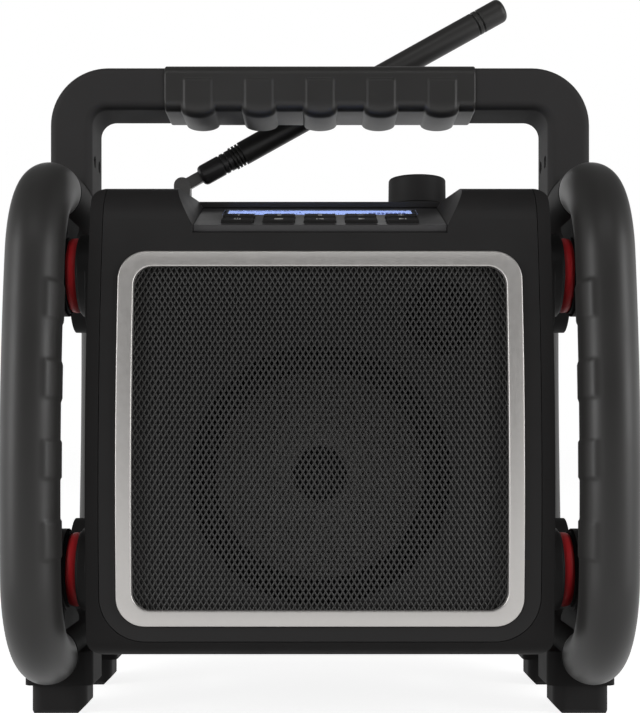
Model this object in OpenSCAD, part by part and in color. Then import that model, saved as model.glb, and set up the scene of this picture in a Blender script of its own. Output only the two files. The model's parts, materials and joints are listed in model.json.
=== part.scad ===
// Jobsite radio: a bow-fronted cabinet slung between two tubular side cages on rubber
// buffers, with a carrying handle, a sunken sloping control panel and a tilting antenna.
// Frame: +X to the right seen from the front, +Y to the back, +Z up. The origin is on the
// ground, in the middle of the footprint. All sizes are millimetres.

/* [Cabinet] */
// Width across the side walls
cab_w = 206; // [200:1:216]
// Height from the underside to the top deck
cab_h = 212; // [206:1:224]
// Depth from the foremost line to the back wall
cab_d = 188; // [180:1:196]
// Radius of the bowed front
bow_r = 600; // [500:10:800]
// Height above the ground of the foremost line of the bowed front
bow_z = 106; // [96:1:120]
// Wall thickness of both shells
wall = 3; // [2.4:0.1:3.6]
// Radius of the large round over the front top edge
top_round = 22; // [16:1:24]
// Radius of the other three long edges
edge_round = 10; // [6:1:12]
// Radius of the edges where the side walls meet the top and underside
side_round = 8; // [5:1:10]
// Depth of the front shell, from the foremost line to the parting line
front_shell_d = 118; // [116:1:119]
// Thickness of the rubber seal between the shells
seal_t = 1.2; // [0.8:0.1:1.6]

/* [Fascia] */
// Width of the shell's rim on each side of the fascia
fascia_rim = 6; // [5:0.1:8]
// Height of the fascia's lower edge above the cabinet's underside
fascia_sill = 7; // [5:0.5:10]
// Corner radius of the fascia
fascia_round = 20; // [14:1:24]
// Thickness of the fascia where the loudspeakers are fixed
baffle_t = 6; // [5.5:0.5:7]
// Visible joint between neighbouring mouldings
seam = 0.3; // [0.2:0.05:0.5]

/* [Trim and grille] */
// Width of the fascia on each side of the trim frame
trim_rim = 7.35; // [5.5:0.05:9]
// Outer height of the trim frame
trim_h = 166.1; // [162:0.1:168]
// Width of the trim frame's face
trim_band = 7.1; // [5:0.1:9]
// Outer corner radius of the trim frame
trim_round = 12.7; // [10:0.1:16]
// How far the trim frame stands proud of the fascia
trim_proud = 1.5; // [0.8:0.1:2.5]
// Height of the trim frame's lower edge above the fascia's lower edge
trim_sill = 6.8; // [5:0.1:8]
// Thickness of the perforated grille
grille_t = 1.2; // [0.8:0.1:1.6]
// Distance between neighbouring grille holes
hole_pitch = 10; // [9.5:0.1:13]
// Width of the metal left between two holes
hole_web = 2.5; // [2:0.1:4]

/* [Loudspeakers] */
// Diameter of the woofer's mounting flange
woofer_d = 130; // [126:1:132]
// Diameter of the woofer's opening in the baffle
woofer_hole_d = 115; // [108:1:118]
// Height of the woofer's axis above the trim frame's lower edge
woofer_rise = 66.5; // [65:0.5:68]
// Depth of the woofer's basket behind its flange
basket_d = 42; // [36:1:48]
// Diameter of the woofer's magnet
magnet_d = 90; // [80:1:100]
// Thickness of the woofer's magnet
magnet_t = 18; // [14:1:22]
// Diameter of the dust cap
dust_cap_d = 26; // [22:1:32]
// Distance of the tweeter's axis from the trim frame's right inner side
tweeter_side = 28.15; // [26:0.05:30]
// Distance of the tweeter's axis below the trim frame's upper inner side
tweeter_drop = 22.6; // [22:0.1:23.5]
// Diameter of the tweeter's flange
tweeter_d = 43; // [40:1:44]
// Diameter of the tweeter's opening in the baffle
tweeter_hole_d = 33.2; // [30:0.2:35]
// Diameter of the tweeter's dome
dome_d = 16; // [14:1:20]

/* [Control panel] */
// Width of the panel
panel_w = 114; // [110:1:118]
// Length of the panel along its slope
panel_l = 55; // [54:1:57]
// Slope of the panel, in degrees
panel_slope = 18; // [16:0.5:20]
// Thickness of the panel
panel_t = 3; // [2.5:0.1:3.5]
// Distance of the panel's front edge behind the bowed face
panel_gap = 0.8775; // [0.6:0.0025:2]
// Depth of the panel's front edge below the deck
panel_drop = 20; // [19:0.5:21]
// How far each shoulder's inner face leans outwards from the panel to its top
shoulder_lean = 11.5; // [8:0.5:14]
// Width of a key
key_w = 14.3; // [12:0.1:16]
// Length of a key along the slope
key_l = 8.6; // [7:0.1:9.5]
// Sideways distance between neighbouring keys
key_pitch = 18.8; // [17.5:0.1:20]
// Distance between the two rows of keys
row_pitch = 12.2; // [11:0.1:13]
// Distance of the front row from the panel's front edge
row_set = 10.5; // [9:0.1:11.5]
// How far a key stands above the panel
key_up = 1.3; // [1:0.1:1.8]
// Travel of a key
key_travel = 0.6; // [0.3:0.1:0.8]
// Clearance round a key
key_gap = 0.3; // [0.2:0.05:0.4]
// Width of the display window
lcd_w = 92; // [84:1:98]
// Length of the display window along the slope
lcd_l = 19; // [15:0.5:20]

/* [Volume knob] */
// Diameter of the knob at its skirt
knob_d = 29.6; // [26:0.2:32]
// Height of the knob
knob_h = 17.3; // [14:0.1:20]
// Distance of the knob's axis to the right of the middle
knob_x = 49.7; // [46:0.1:54]
// Gap between the knob and the deck
knob_gap = 1.2; // [1:0.1:1.6]
// Travel of the knob when it is pushed
push_travel = 0.6; // [0.3:0.1:0.8]
// Diameter of the encoder shaft
shaft_d = 6; // [5:0.1:6.4]

/* [Antenna] */
// Distance of the antenna's swivel axis to the left of the middle
antenna_x = 74.5; // [72:0.5:78]
// Distance of the antenna's swivel axis behind the middle
antenna_y = 40; // [38:0.5:44]
// Height of the tilt pivot above the deck
pivot_rise = 21.8; // [21:0.1:24]
// Length of the antenna from its pivot to its tip
antenna_l = 199; // [180:1:205]
// Diameter of the antenna's rubber sleeve
rod_d = 12.9; // [11:0.1:13.4]
// Diameter of the collar between the pivot and the sleeve
collar_d = 11.4; // [10:0.1:12]
// Angle of the antenna above the horizontal as it is stored, in degrees
antenna_lean = 29.1; // [24:0.1:36]

/* [Side cages] */
// Diameter of the rubber bumper sleeves and of the arms
bumper_d = 26.2; // [24:0.1:28]
// Diameter of the steel tube inside them
core_d = 19; // [16:0.5:20]
// Centre-line radius of the cage's four bends
bend_r = 43; // [41:0.5:46]
// Distance between the front and rear centre lines of a cage
cage_d = 196; // [192:1:204]
// Radius of the bowed rear bar
rear_bow_r = 1000; // [800:10:1400]
// Height above the ground of the rearmost line of the rear bar
rear_bow_z = 195; // [185:1:205]
// Height of the upper arm's axis above the top deck
arm_rise = 2.2; // [0:0.1:4]
// Depth of the lower arm's axis below the cabinet's underside
arm_drop = 5.5; // [3:0.1:7]
// Height of the lower arm's axis above the top of the feet
arm_lift = 14.7; // [13.9:0.1:16]
// Length of a finger pad on the inner side of a bumper
pad_l = 16.5; // [12:0.5:20]
// Distance between neighbouring finger pads
pad_pitch = 34.6; // [30:0.2:36]
// How far a finger pad stands proud
pad_proud = 0.6; // [0.4:0.1:1]

/* [Rubber buffers] */
// Diameter of a red rubber buffer
buffer_d = 35.4; // [32:0.2:37]
// Thickness of a buffer between its cup and its boss
buffer_t = 4.8; // [4:0.1:6]
// Height of a cup on the cabinet's side wall
cup_h = 10.8; // [10:0.1:13]
// Distance of the buffers in front of and behind the middle
buffer_y = 45; // [44:0.2:46.5]
// Distance of the buffers from the arm's axis
buffer_drop = 39.7; // [38:0.1:41]
// Diameter of the cage's bosses
boss_d = 39; // [38:0.2:41]
// Diameter of the buffer bolts
bolt_d = 8; // [6:0.5:9]

/* [Handle] */
// Height of the handle's top above the upper arm's axis
handle_h = 68.6; // [64:0.2:76]
// Height of the handle bar and width of its legs
bar_h = 21; // [19:0.2:22]
// Depth of the handle, front to back
bar_d = 34; // [30:0.5:36]
// Radius inside the handle's corners
inner_round = 8; // [6:0.5:12]
// Edge radius of the handle's section
bar_round = 4; // [2:0.5:6]
// How far the legs stand inboard of the cage's axis
leg_inset = 2.2; // [1.5:0.1:2.6]
// Length of the grip sleeve
grip_l = 155.5; // [140:0.5:170]
// Thickness of the grip sleeve
grip_t = 0.9; // [0.7:0.1:1.4]
// Number of finger bumps under the grip
bump_n = 5; // [3:1:6]
// Width of a finger bump
bump_w = 15; // [12:0.5:18]
// Distance between neighbouring bumps
bump_pitch = 30.5; // [24:0.5:31]
// How far the bumps hang below the bar
bump_drop = 3.2; // [2:0.2:5]
// Distance of the bumps' upper edge below the bar's top
bump_set = 7; // [4:0.5:9]

/* [Feet] */
// Height of a rubber foot
foot_h = 13.8; // [11:0.1:18]
// Width of a foot
foot_w = 26.3; // [22:0.1:28]
// Length of a foot, front to back
foot_l = 26; // [22:0.5:30]
// Distance of a foot in front of or behind the middle
foot_y = 37; // [32:0.5:40]

/* [Back] */
// Width of the battery door
door_w = 130; // [110:1:140]
// Height of the battery door
door_h = 72; // [60:1:76]
// Height of the battery door's lower edge above the cabinet's underside
door_sill = 18; // [16:0.5:24]
// Depth of the battery tray
tray_d = 44; // [38:1:48]
// Diameter of the door's hinge knuckles
knuckle_d = 6.4; // [6:0.2:8]
// Diameter of the door's hinge pin
pin_d = 3; // [2.5:0.1:3.4]
// Width of the rubber flap over the sockets
flap_w = 44; // [38:1:48]
// Height of the rubber flap
flap_h = 22; // [18:1:26]

/* [Hidden] */
$fn = 64;
BIG_FN = 720; // for the long, shallow arcs

// Finishes
BLACK = "#1d1d1e";
RUBBER = "#262627";
SOFT_BLACK = "#303031";
STEEL = "#b9bbbd";
DARK_STEEL = "#3a3b3d";
SILVER = "#b4b4b5";
RED = "#b3161c";

// Running clearance of pins and shafts, and fitting clearance of seated pieces
run = 0.05;
fit = 0.1;

// Levels and planes of the cabinet
arm_lo = foot_h + arm_lift;
cab_lo = arm_lo + arm_drop;
cab_hi = cab_lo + cab_h;
arm_hi = cab_hi + arm_rise;
front_y = -cage_d / 2;
back_y = front_y + cab_d;
part_y = front_y + front_shell_d;
bow_y = front_y + bow_r;
side_x = cab_w / 2;

// Control panel
panel_z = cab_hi - panel_drop;
panel_y = bow_y - sqrt(pow(bow_r, 2) - pow(panel_z - bow_z, 2)) + panel_gap;
deck_y = panel_y + panel_l * cos(panel_slope);
key_lip = 1;
key_skirt_t = 1.2;
lcd_y = panel_l - 3 - lcd_l / 2;
lcd_ledge = 2;
window_t = 1.5;
module_t = 4;
board_z = -panel_t - key_skirt_t - key_travel - 2.4;
board_t = 1.6;
board_front = 7; // from the front row of keys to the board's front edge
board_back = 5; // from the rear row to its rear edge
well_edge = 5; // left round the window in the well's floor
post_d = 3.6;
post_x = 2 * key_pitch + key_w / 2 + key_lip + post_d / 2 + 0.5;

// Front stack, as radii about the bow's axis
fascia_w = cab_w - 2 * fascia_rim;
fascia_z = cab_lo + fascia_sill;
trim_w = fascia_w - 2 * trim_rim;
trim_lo = fascia_z + trim_sill;
trim_z = trim_lo + trim_h / 2;
seat_r = bow_r - 2;
pocket_r = seat_r - grille_t;
grille_rim = 3;
grille_w = trim_w - 2 * trim_band + 2 * grille_rim;
grille_h = trim_h - 2 * trim_band + 2 * grille_rim;

// Loudspeakers
woofer_z = trim_lo + woofer_rise;
tweeter_x = trim_w / 2 - trim_band - tweeter_side;
tweeter_z = trim_lo + trim_h - trim_band - tweeter_drop;
flange_y = front_y + baffle_t + 7;
flange_t = 3;
cone_d = woofer_hole_d - 22;
cone_t = 0.8;
neck_d = dust_cap_d - 1;
cone_depth = 22;

// Side cages
cup_x = side_x + cup_h;
boss_x = cup_x + buffer_t;
cage_x = cup_x + bumper_d / 2;
boss_out = cage_x + 6.5;
bend_hi = arm_hi - bend_r;
bend_lo = arm_lo + bend_r;
cage_back = cage_d / 2;
front_hi_y = bow_y - sqrt(pow(bow_r - bend_r, 2) - pow(bend_hi - bow_z, 2));
front_lo_y = bow_y - sqrt(pow(bow_r - bend_r, 2) - pow(bend_lo - bow_z, 2));
rear_cy = cage_back - rear_bow_r;
rear_hi_y = rear_cy + sqrt(pow(rear_bow_r - bend_r, 2) - pow(bend_hi - rear_bow_z, 2));
rear_lo_y = rear_cy + sqrt(pow(rear_bow_r - bend_r, 2) - pow(bend_lo - rear_bow_z, 2));
front_hi_a = atan2(bend_hi - bow_z, front_hi_y - bow_y);
front_lo_a = atan2(bend_lo - bow_z, front_lo_y - bow_y) + 360;
rear_hi_a = atan2(bend_hi - rear_bow_z, rear_hi_y - rear_cy);
rear_lo_a = atan2(bend_lo - rear_bow_z, rear_lo_y - rear_cy);
pad_z = (arm_hi + arm_lo) / 2;
pad_n = 4;
sleeve_gap = 0.2;
step_in = 0.15; // how much slimmer a long bar is than the bends it runs into
lap = 0.3; // how far the bar reaches into the bends
buffer_hi = arm_hi - buffer_drop;
buffer_lo = arm_lo + buffer_drop;

// Handle
leg_x = cage_x - leg_inset;
bar_z = arm_hi + handle_h - bar_h / 2;
corner_r = inner_round + bar_h / 2;
tongue_w = 12;
tongue_d = 24;
tongue_top = bar_z - corner_r - 2;
leg_bolt_d = 6;
leg_bolt_z = arm_hi + 23;
leg_bolt_y = 6.5;

// Encoder
shaft_z = cab_hi - wall - 7.2;
shaft_l = wall + 17;
shaft_rest = 0.2; // left under the shaft when it is pushed

// Antenna
pivot_z = cab_hi + pivot_rise;
tongue_t = 4.2;
ear_t = 2.4;
ear_r = 4.4;
antenna_pin_d = 3.2;
base_h = 9.5;
turret_h = 5;
turret_d = 15;
collar_set = 11;
collar_l = 20;
sleeve_set = 33;

// Back
door_z = cab_lo + door_sill;
ledge = 2;
fixed_in = 21; // from the door's side to the outer fixed knuckles
moving_in = 43; // and to the moving ones
contact_in = 24; // and to the battery contacts
rebate = 1.6;
hinge_y = back_y + knuckle_d / 2;
hinge_z = door_z - knuckle_d / 2 - 0.4;
tray_wall = 2;
flap_x = 62;
flap_z = door_z + door_h + 28;
flap_t = 1.6;
inlet_w = 30;
inlet_h = 22;
inlet_z = flap_z;
flap_pin_d = 2.4;
flap_barrel_d = 5;
flap_hinge_x = flap_x - flap_w / 2 - flap_barrel_d / 2 - 0.6;
socket_edge = 4; // left round the sockets behind their flap
inlet_wall = 4;
inlet_depth = 14;
board_side = 10; // from the door's side to the main board's
board_up = 6; // from the door's upper edge to the main board

// ---------------------------------------------------------------- helpers

// A flat outline in Y and Z, drawn out along X
module along_x(x0, x1) {
    translate([x0, 0, 0])
        rotate([90, 0, 90])
            linear_extrude(x1 - x0) children();
}

// A flat outline in X and Z, drawn out along Y
module along_y(y0, y1) {
    translate([0, y1, 0])
        rotate([90, 0, 0])
            linear_extrude(y1 - y0) children();
}

// Rounded rectangle with true arcs, centred
module round_rect(w, h, r) {
    square([w - 2 * r, h], center = true);
    square([w, h - 2 * r], center = true);
    for (sx = [-1, 1], sy = [-1, 1])
        translate([sx * (w / 2 - r), sy * (h / 2 - r)]) circle(r);
}

// Cylinders along X and Y
module rod_x(d, x0, x1, y, z) {
    translate([x0, y, z]) rotate([0, 90, 0]) cylinder(d = d, h = x1 - x0);
}

module rod_y(d, y0, y1, x, z) {
    translate([x, y1, z]) rotate([90, 0, 0]) cylinder(d = d, h = y1 - y0);
}

// Both cages are one design and its mirror image
module on_side(side) {
    if (side > 0) children();
    else mirror([1, 0, 0]) children();
}

// ---------------------------------------------------------------- cabinet form

// Side profile of the cabinet, shrunk by inset: bowed front, large round over the front
// top edge, smaller rounds on the other three long edges
module side_profile(inset) {
    r = bow_r - inset;
    top_z = cab_hi - top_round;
    top_y = bow_y - sqrt(pow(bow_r - top_round, 2) - pow(top_z - bow_z, 2));
    low_z = cab_lo + edge_round;
    low_y = bow_y - sqrt(pow(bow_r - edge_round, 2) - pow(low_z - bow_z, 2));
    top_t = bow_z + (top_z - bow_z) * r / (bow_r - top_round);
    low_t = bow_z + (low_z - bow_z) * r / (bow_r - edge_round);
    rear = back_y - inset;
    round_r = edge_round - inset;
    intersection() {
        translate([bow_y, bow_z]) circle(r, $fn = BIG_FN);
        translate([front_y, low_t]) square([rear - front_y, top_t - low_t]);
    }
    translate([top_y, top_z]) circle(top_round - inset);
    translate([low_y, low_z]) circle(round_r);
    for (z = [low_z, cab_hi - edge_round])
        translate([back_y - edge_round, z]) circle(round_r);
    translate([low_y, cab_lo + inset])
        square([back_y - edge_round - low_y, cab_h / 2]);
    translate([top_y, cab_lo + cab_h / 2 - inset])
        square([back_y - edge_round - top_y, cab_h / 2]);
    translate([0, low_z]) square([rear, cab_h - 2 * edge_round]);
}

// The cabinet as a solid block, shrunk by inset
module cabinet_block(inset) {
    intersection() {
        along_x(-side_x + inset, side_x - inset) side_profile(inset);
        along_y(front_y - 1, back_y + 1)
            translate([0, cab_lo + cab_h / 2])
                round_rect(cab_w - 2 * inset, cab_h - 2 * inset, side_round - inset);
    }
}

// What the cabinet is hollowed out by: thin walls, but a thick baffle in front
module cabinet_core() {
    intersection() {
        cabinet_block(wall);
        along_x(-side_x, side_x)
            translate([bow_y, bow_z]) circle(bow_r - baffle_t, $fn = BIG_FN);
    }
}

// Everything between two radii of the bow, in front
module bow_layer(r0, r1) {
    along_x(-side_x, side_x)
        intersection() {
            difference() {
                translate([bow_y, bow_z]) circle(r1, $fn = BIG_FN);
                translate([bow_y, bow_z]) circle(r0, $fn = BIG_FN);
            }
            translate([front_y - 5, cab_lo]) square([40, cab_h]);
        }
}

// An outline in X and Z, cut from the layer between two radii of the bow
module bowed_plate(r0, r1) {
    intersection() {
        bow_layer(r0, r1);
        along_y(front_y - 6, front_y + 36) children();
    }
}

// Outline of the fascia seen from the front, grown by extra; it runs up past the deck
module fascia_outline(extra) {
    translate([0, fascia_z + cab_h])
        round_rect(fascia_w + 2 * extra, 2 * cab_h + 2 * extra, fascia_round + extra);
}

module fascia_space(extra) {
    along_y(front_y - 5, deck_y + extra) fascia_outline(extra);
}

// ---------------------------------------------------------------- control panel frame

// Origin at the panel's front edge on its upper face, X right, Y up the slope
module on_panel() {
    translate([0, panel_y, panel_z]) rotate([panel_slope, 0, 0]) children();
}

// The sunken space of the panel between the two shoulders
module panel_space(extra, floor_z, y0, y1) {
    w = panel_w / 2 + extra;
    lean = shoulder_lean / panel_drop;
    top = panel_drop + 10;
    on_panel()
        along_y(y0, y1)
            polygon([
                [-w, floor_z], [w, floor_z], [w, 0], [w + lean * top, top],
                [-w - lean * top, top], [-w, 0]
            ]);
}

// Place of key number i, 1 to 10, on the panel
module on_key(i) {
    col = (i - 1) % 5 - 2;
    row = floor((i - 1) / 5);
    on_panel()
        translate([col * key_pitch, row_set + row * row_pitch, 0]) children();
}

// ---------------------------------------------------------------- housings

module front_shell() {
    color(BLACK) {
        difference() {
            intersection() {
                cabinet_block(0);
                translate([-side_x, front_y - 1, cab_lo])
                    cube([cab_w, front_shell_d + 1, cab_h]);
            }
            cabinet_core();
            fascia_space(seam);
            translate([knob_x, 0, cab_hi - 2 * wall])
                cylinder(d = shaft_d + 3.2, h = 3 * wall);
        }
        // Rail that the fascia is screwed to, behind the visible rim
        difference() {
            bowed_plate(bow_r - baffle_t - 2.6, bow_r - baffle_t - fit)
                intersection() {
                    fascia_outline(seam + 3);
                    translate([-side_x, cab_lo]) square([cab_w, cab_h - panel_drop - 12]);
                }
            along_y(front_y - 6, front_y + 36) fascia_outline(-5);
            difference() {
                cabinet_block(-5);
                cabinet_block(wall - 0.5);
            }
        }
    }
}

module rear_shell() {
    door_x = door_w / 2;
    color(BLACK) {
        difference() {
            intersection() {
                cabinet_block(0);
                translate([-side_x, part_y + seal_t, cab_lo])
                    cube([cab_w, cab_d, cab_h]);
            }
            cabinet_block(wall);
            // Battery opening with a rebate for its door
            translate([-door_x + ledge, back_y - 2 * wall, door_z + ledge])
                cube([door_w - 2 * ledge, 3 * wall, door_h - 2 * ledge]);
            translate([-door_x - seam, back_y - rebate, door_z - seam])
                cube([door_w + 2 * seam, wall, door_h + 2 * seam]);
            // Power inlet
            translate([-flap_x - inlet_w / 2, back_y - 2 * wall, inlet_z - inlet_h / 2])
                cube([inlet_w, 3 * wall, inlet_h]);
            // Sockets, with a rebate for their flap
            translate([flap_x - flap_w / 2 + socket_edge, back_y - 2 * wall,
                       flap_z - flap_h / 2 + socket_edge])
                cube([flap_w - 2 * socket_edge, 3 * wall, flap_h - 2 * socket_edge]);
            translate([flap_x - flap_w / 2 - seam, back_y - flap_t, flap_z - flap_h / 2 - seam])
                cube([flap_w + 2 * seam, wall, flap_h + 2 * seam]);
            // Cable hole of the antenna
            translate([-antenna_x, antenna_y, cab_hi - 2 * wall])
                cylinder(d = 5, h = 3 * wall);
        }
        // Fixed knuckles of the battery door's hinge
        for (x = [-door_x + fixed_in, 0, door_x - fixed_in])
            difference() {
                union() {
                    rod_x(knuckle_d, x - 6, x + 6, hinge_y, hinge_z);
                    translate([x - 6, back_y - wall + 1, hinge_z - knuckle_d / 2])
                        cube([12, wall - 1 + knuckle_d / 2, knuckle_d / 2]);
                }
                rod_x(pin_d, x - 7, x + 7, hinge_y, hinge_z);
            }
        // Lugs of the flap's hinge
        for (z = [-1, 1])
            difference() {
                union() {
                    translate([flap_hinge_x, back_y + flap_barrel_d / 2, flap_z + z * 8.5])
                        cylinder(d = flap_barrel_d, h = 3, center = true);
                    translate([flap_hinge_x - flap_barrel_d / 2, back_y - 1, flap_z + z * 8.5 - 1.5])
                        cube([flap_barrel_d, 1 + flap_barrel_d / 2, 3]);
                }
                translate([flap_hinge_x, back_y + flap_barrel_d / 2, flap_z])
                    cylinder(d = flap_pin_d, h = 30, center = true);
            }
    }
}

module shell_seal() {
    color(RUBBER)
        difference() {
            intersection() {
                cabinet_block(0.5);
                translate([-side_x, part_y, cab_lo]) cube([cab_w, seal_t, cab_h]);
            }
            cabinet_block(wall);
        }
}

module fascia() {
    floor_z = -panel_t;
    color(SOFT_BLACK)
        difference() {
            union() {
                difference() {
                    intersection() {
                        cabinet_block(0);
                        fascia_space(0);
                    }
                    cabinet_core();
                }
                // Walls and floor of the panel's well
                intersection() {
                    cabinet_block(0.5);
                    fascia_space(0);
                    panel_space(wall, floor_z - 2.5, 2, panel_l);
                }
                // Flat seats for the loudspeakers behind the bowed baffle
                intersection() {
                    along_x(-side_x, side_x)
                        translate([bow_y, bow_z]) circle(pocket_r - 1, $fn = BIG_FN);
                    union() {
                        rod_y(woofer_d + 1, front_y - 1, flange_y, 0, woofer_z);
                        rod_y(tweeter_d + 1, front_y - 1, flange_y, tweeter_x, tweeter_z);
                    }
                }
            }
            panel_space(0, floor_z, -15, panel_l);
            // Window through the floor of the well for the keypad and the display
            on_panel()
                translate([-panel_w / 2 + well_edge, well_edge, floor_z - 4])
                    cube([panel_w - 2 * well_edge, panel_l - well_edge - 2, 5]);
            // Pockets of the trim frame and of the grille behind it
            bowed_plate(seat_r, bow_r + 3)
                translate([0, trim_z])
                    round_rect(trim_w + 2 * seam, trim_h + 2 * seam, trim_round + seam);
            bowed_plate(pocket_r, bow_r)
                translate([0, trim_z]) round_rect(grille_w + fit, grille_h + fit, trim_round - 4);
            rod_y(woofer_hole_d, front_y - 5, flange_y + 5, 0, woofer_z);
            rod_y(tweeter_hole_d, front_y - 5, flange_y + 5, tweeter_x, tweeter_z);
            rod_y(tweeter_d + 2 * fit, flange_y, flange_y + 12, tweeter_x, tweeter_z);
        }
}

// ---------------------------------------------------------------- trim and grille

module trim_frame() {
    inner_w = trim_w - 2 * trim_band;
    inner_h = trim_h - 2 * trim_band;
    inner_r = trim_round - trim_band + 2.7;
    lip = 0.8;
    proud_r = bow_r + trim_proud;
    color(SILVER) {
        bowed_plate(seat_r, proud_r - lip)
            translate([0, trim_z])
                difference() {
                    round_rect(trim_w, trim_h, trim_round);
                    round_rect(inner_w, inner_h, inner_r);
                }
        bowed_plate(proud_r - lip, proud_r)
            translate([0, trim_z])
                difference() {
                    round_rect(trim_w - 2 * lip, trim_h - 2 * lip, trim_round - lip);
                    round_rect(inner_w + 2 * lip, inner_h + 2 * lip, inner_r + lip);
                }
    }
}

// Diamond holes in staggered rows that fill a field w wide and h high
module hole_field(w, h) {
    half = hole_pitch / 2;
    row_h = hole_pitch * sqrt(3) / 2;
    share = 1 - hole_web / row_h;
    nx = floor(w / 2 / half - share);
    ny = floor(h / 2 / row_h - share);
    for (i = [-nx : nx], j = [-ny : ny])
        if ((i + j) % 2 == 0)
            translate([i * half, j * row_h])
                polygon([
                    [half * share, 0], [0, row_h * share],
                    [-half * share, 0], [0, -row_h * share]
                ]);
}

module speaker_grille() {
    color(DARK_STEEL)
        bowed_plate(pocket_r, seat_r)
            translate([0, trim_z])
                difference() {
                    round_rect(grille_w, grille_h, trim_round - 4);
                    hole_field(grille_w - 2 * grille_rim - 1, grille_h - 2 * grille_rim - 1);
                }
}

// ---------------------------------------------------------------- loudspeakers

// Turns a profile in radius and depth about a loudspeaker's axis, depth counted backwards
// from the seat of its flange
module speaker_turn(x, z) {
    translate([x, flange_y, z]) rotate([-90, 0, 0]) rotate_extrude() children();
}

module woofer_basket() {
    r = woofer_d / 2;
    inner = woofer_hole_d / 2 - 4;
    back_r = magnet_d / 2 - 4;
    color(DARK_STEEL)
        difference() {
            speaker_turn(0, woofer_z)
                polygon([
                    [inner, 0], [r, 0], [r, flange_t], [inner + 1.5, flange_t],
                    [back_r, basket_d - 2], [back_r, basket_d], [neck_d / 2 + 3, basket_d],
                    [neck_d / 2 + 3, basket_d - 2], [back_r - 2, basket_d - 2], [inner, flange_t - 1]
                ]);
            // Windows between the basket's arms
            for (a = [0 : 60 : 300])
                translate([0, flange_y + flange_t + 5, woofer_z])
                    rotate([0, a + 30, 0])
                        translate([0, 0, back_r - 6])
                            along_y(0, basket_d - flange_t - 14)
                                square([30, 30], center = true);
        }
}

module woofer_surround() {
    hole_r = woofer_hole_d / 2 - 0.4;
    roll_r = (hole_r - 3 - cone_d / 2) / 2;
    mid = cone_d / 2 + roll_r;
    color(RUBBER)
        speaker_turn(0, woofer_z) {
            translate([hole_r - 3.5, -0.8]) square([3.5, 0.8]);
            intersection() {
                difference() {
                    translate([mid, 0]) circle(roll_r);
                    translate([mid, 0]) circle(roll_r - 0.8);
                }
                translate([mid - roll_r, -roll_r]) square([2 * roll_r, roll_r]);
            }
        }
}

module woofer_cone() {
    r0 = cone_d / 2;
    r1 = neck_d / 2;
    color("#3b3b3a")
        speaker_turn(0, woofer_z)
            polygon([
                [r0 + 0.7, 0], [r0 + 0.7, cone_t], [r0 - 0.6, cone_t],
                [r1, cone_depth + cone_t], [r1 - 1, cone_depth + cone_t],
                [r1 - 1, cone_depth - 0.4], [r0 - 1, 0]
            ]);
}

module dust_cap() {
    r = dust_cap_d / 2;
    rise = 5;
    ball = (r * r + rise * rise) / (2 * rise);
    color("#2b2b2c")
        speaker_turn(0, woofer_z)
            intersection() {
                difference() {
                    translate([0, cone_depth - 0.5 - rise + ball]) circle(ball);
                    translate([0, cone_depth - 0.5 - rise + ball]) circle(ball - 0.8);
                }
                // Everything in front of the cone's face, which the rim is glued to
                polygon([
                    [0, 0], [cone_d / 2 - 1, 0],
                    [neck_d / 2 - 1, cone_depth - 0.4], [0, cone_depth - 0.4]
                ]);
            }
}

module woofer_magnet() {
    gap_d = neck_d + 4;
    color(DARK_STEEL)
        speaker_turn(0, woofer_z) {
            translate([gap_d / 2, basket_d]) square([(magnet_d - gap_d) / 2, magnet_t]);
            translate([0, basket_d + magnet_t - 4]) square([gap_d / 2, 4]);
            translate([0, basket_d - 6]) square([neck_d / 2 - 3, magnet_t + 6]);
        }
}

module tweeter_flange() {
    r = tweeter_d / 2;
    lip = dome_d / 2 + 1;
    color(BLACK)
        speaker_turn(tweeter_x, tweeter_z)
            polygon([[lip, 4], [lip, 2.5], [tweeter_hole_d / 2 - 3, 0], [r, 0], [r, 4]]);
}

module tweeter_dome() {
    r = dome_d / 2;
    rise = 3.6;
    ball = (r * r + rise * rise) / (2 * rise);
    color("#2b2b2c")
        speaker_turn(tweeter_x, tweeter_z) {
            intersection() {
                difference() {
                    translate([0, 4 - rise + ball]) circle(ball);
                    translate([0, 4 - rise + ball]) circle(ball - 0.6);
                }
                translate([0, 4 - rise - 1]) square([r - 0.2, rise + 1]);
            }
            translate([r - 1, 3.6]) square([1.9, 0.4]);
        }
}

module tweeter_magnet() {
    color(DARK_STEEL)
        speaker_turn(tweeter_x, tweeter_z)
            difference() {
                translate([0, 4]) square([tweeter_d / 2 - 4, 12]);
                translate([0, 3]) square([dome_d / 2 - 1, 5]);
            }
}

// ---------------------------------------------------------------- control panel

module control_panel() {
    play = 0.2;
    color(SOFT_BLACK)
        difference() {
            union() {
                on_panel()
                    translate([-panel_w / 2 + play, 0.6, -panel_t])
                        cube([panel_w - 2 * play, panel_l - 0.6 - play, panel_t]);
                // Posts that carry the keypad board
                on_panel()
                    for (sx = [-1, 1], y = [well_edge + post_d / 2 + 0.2, row_set + row_pitch + 2])
                        translate([sx * post_x, y, board_z])
                            cylinder(d = post_d, h = -panel_t - board_z + 0.01);
            }
            for (i = [1 : 10])
                on_key(i)
                    translate([0, 0, -panel_t - 1])
                        linear_extrude(panel_t + 2)
                            round_rect(key_w + 2 * key_gap, key_l + 2 * key_gap, 1.2 + key_gap);
            on_panel()
                translate([-lcd_w / 2 + lcd_ledge, lcd_y - lcd_l / 2 + lcd_ledge, -panel_t - 1])
                    cube([lcd_w - 2 * lcd_ledge, lcd_l - 2 * lcd_ledge, panel_t + 2]);
            on_panel()
                translate([-lcd_w / 2 - fit, lcd_y - lcd_l / 2 - fit, -window_t])
                    cube([lcd_w + 2 * fit, lcd_l + 2 * fit, window_t + 1]);
        }
}

module lcd_window() {
    color("#20242c")
        on_panel()
            translate([-lcd_w / 2, lcd_y - lcd_l / 2, -window_t])
                cube([lcd_w, lcd_l, window_t - 0.3]);
}

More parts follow.
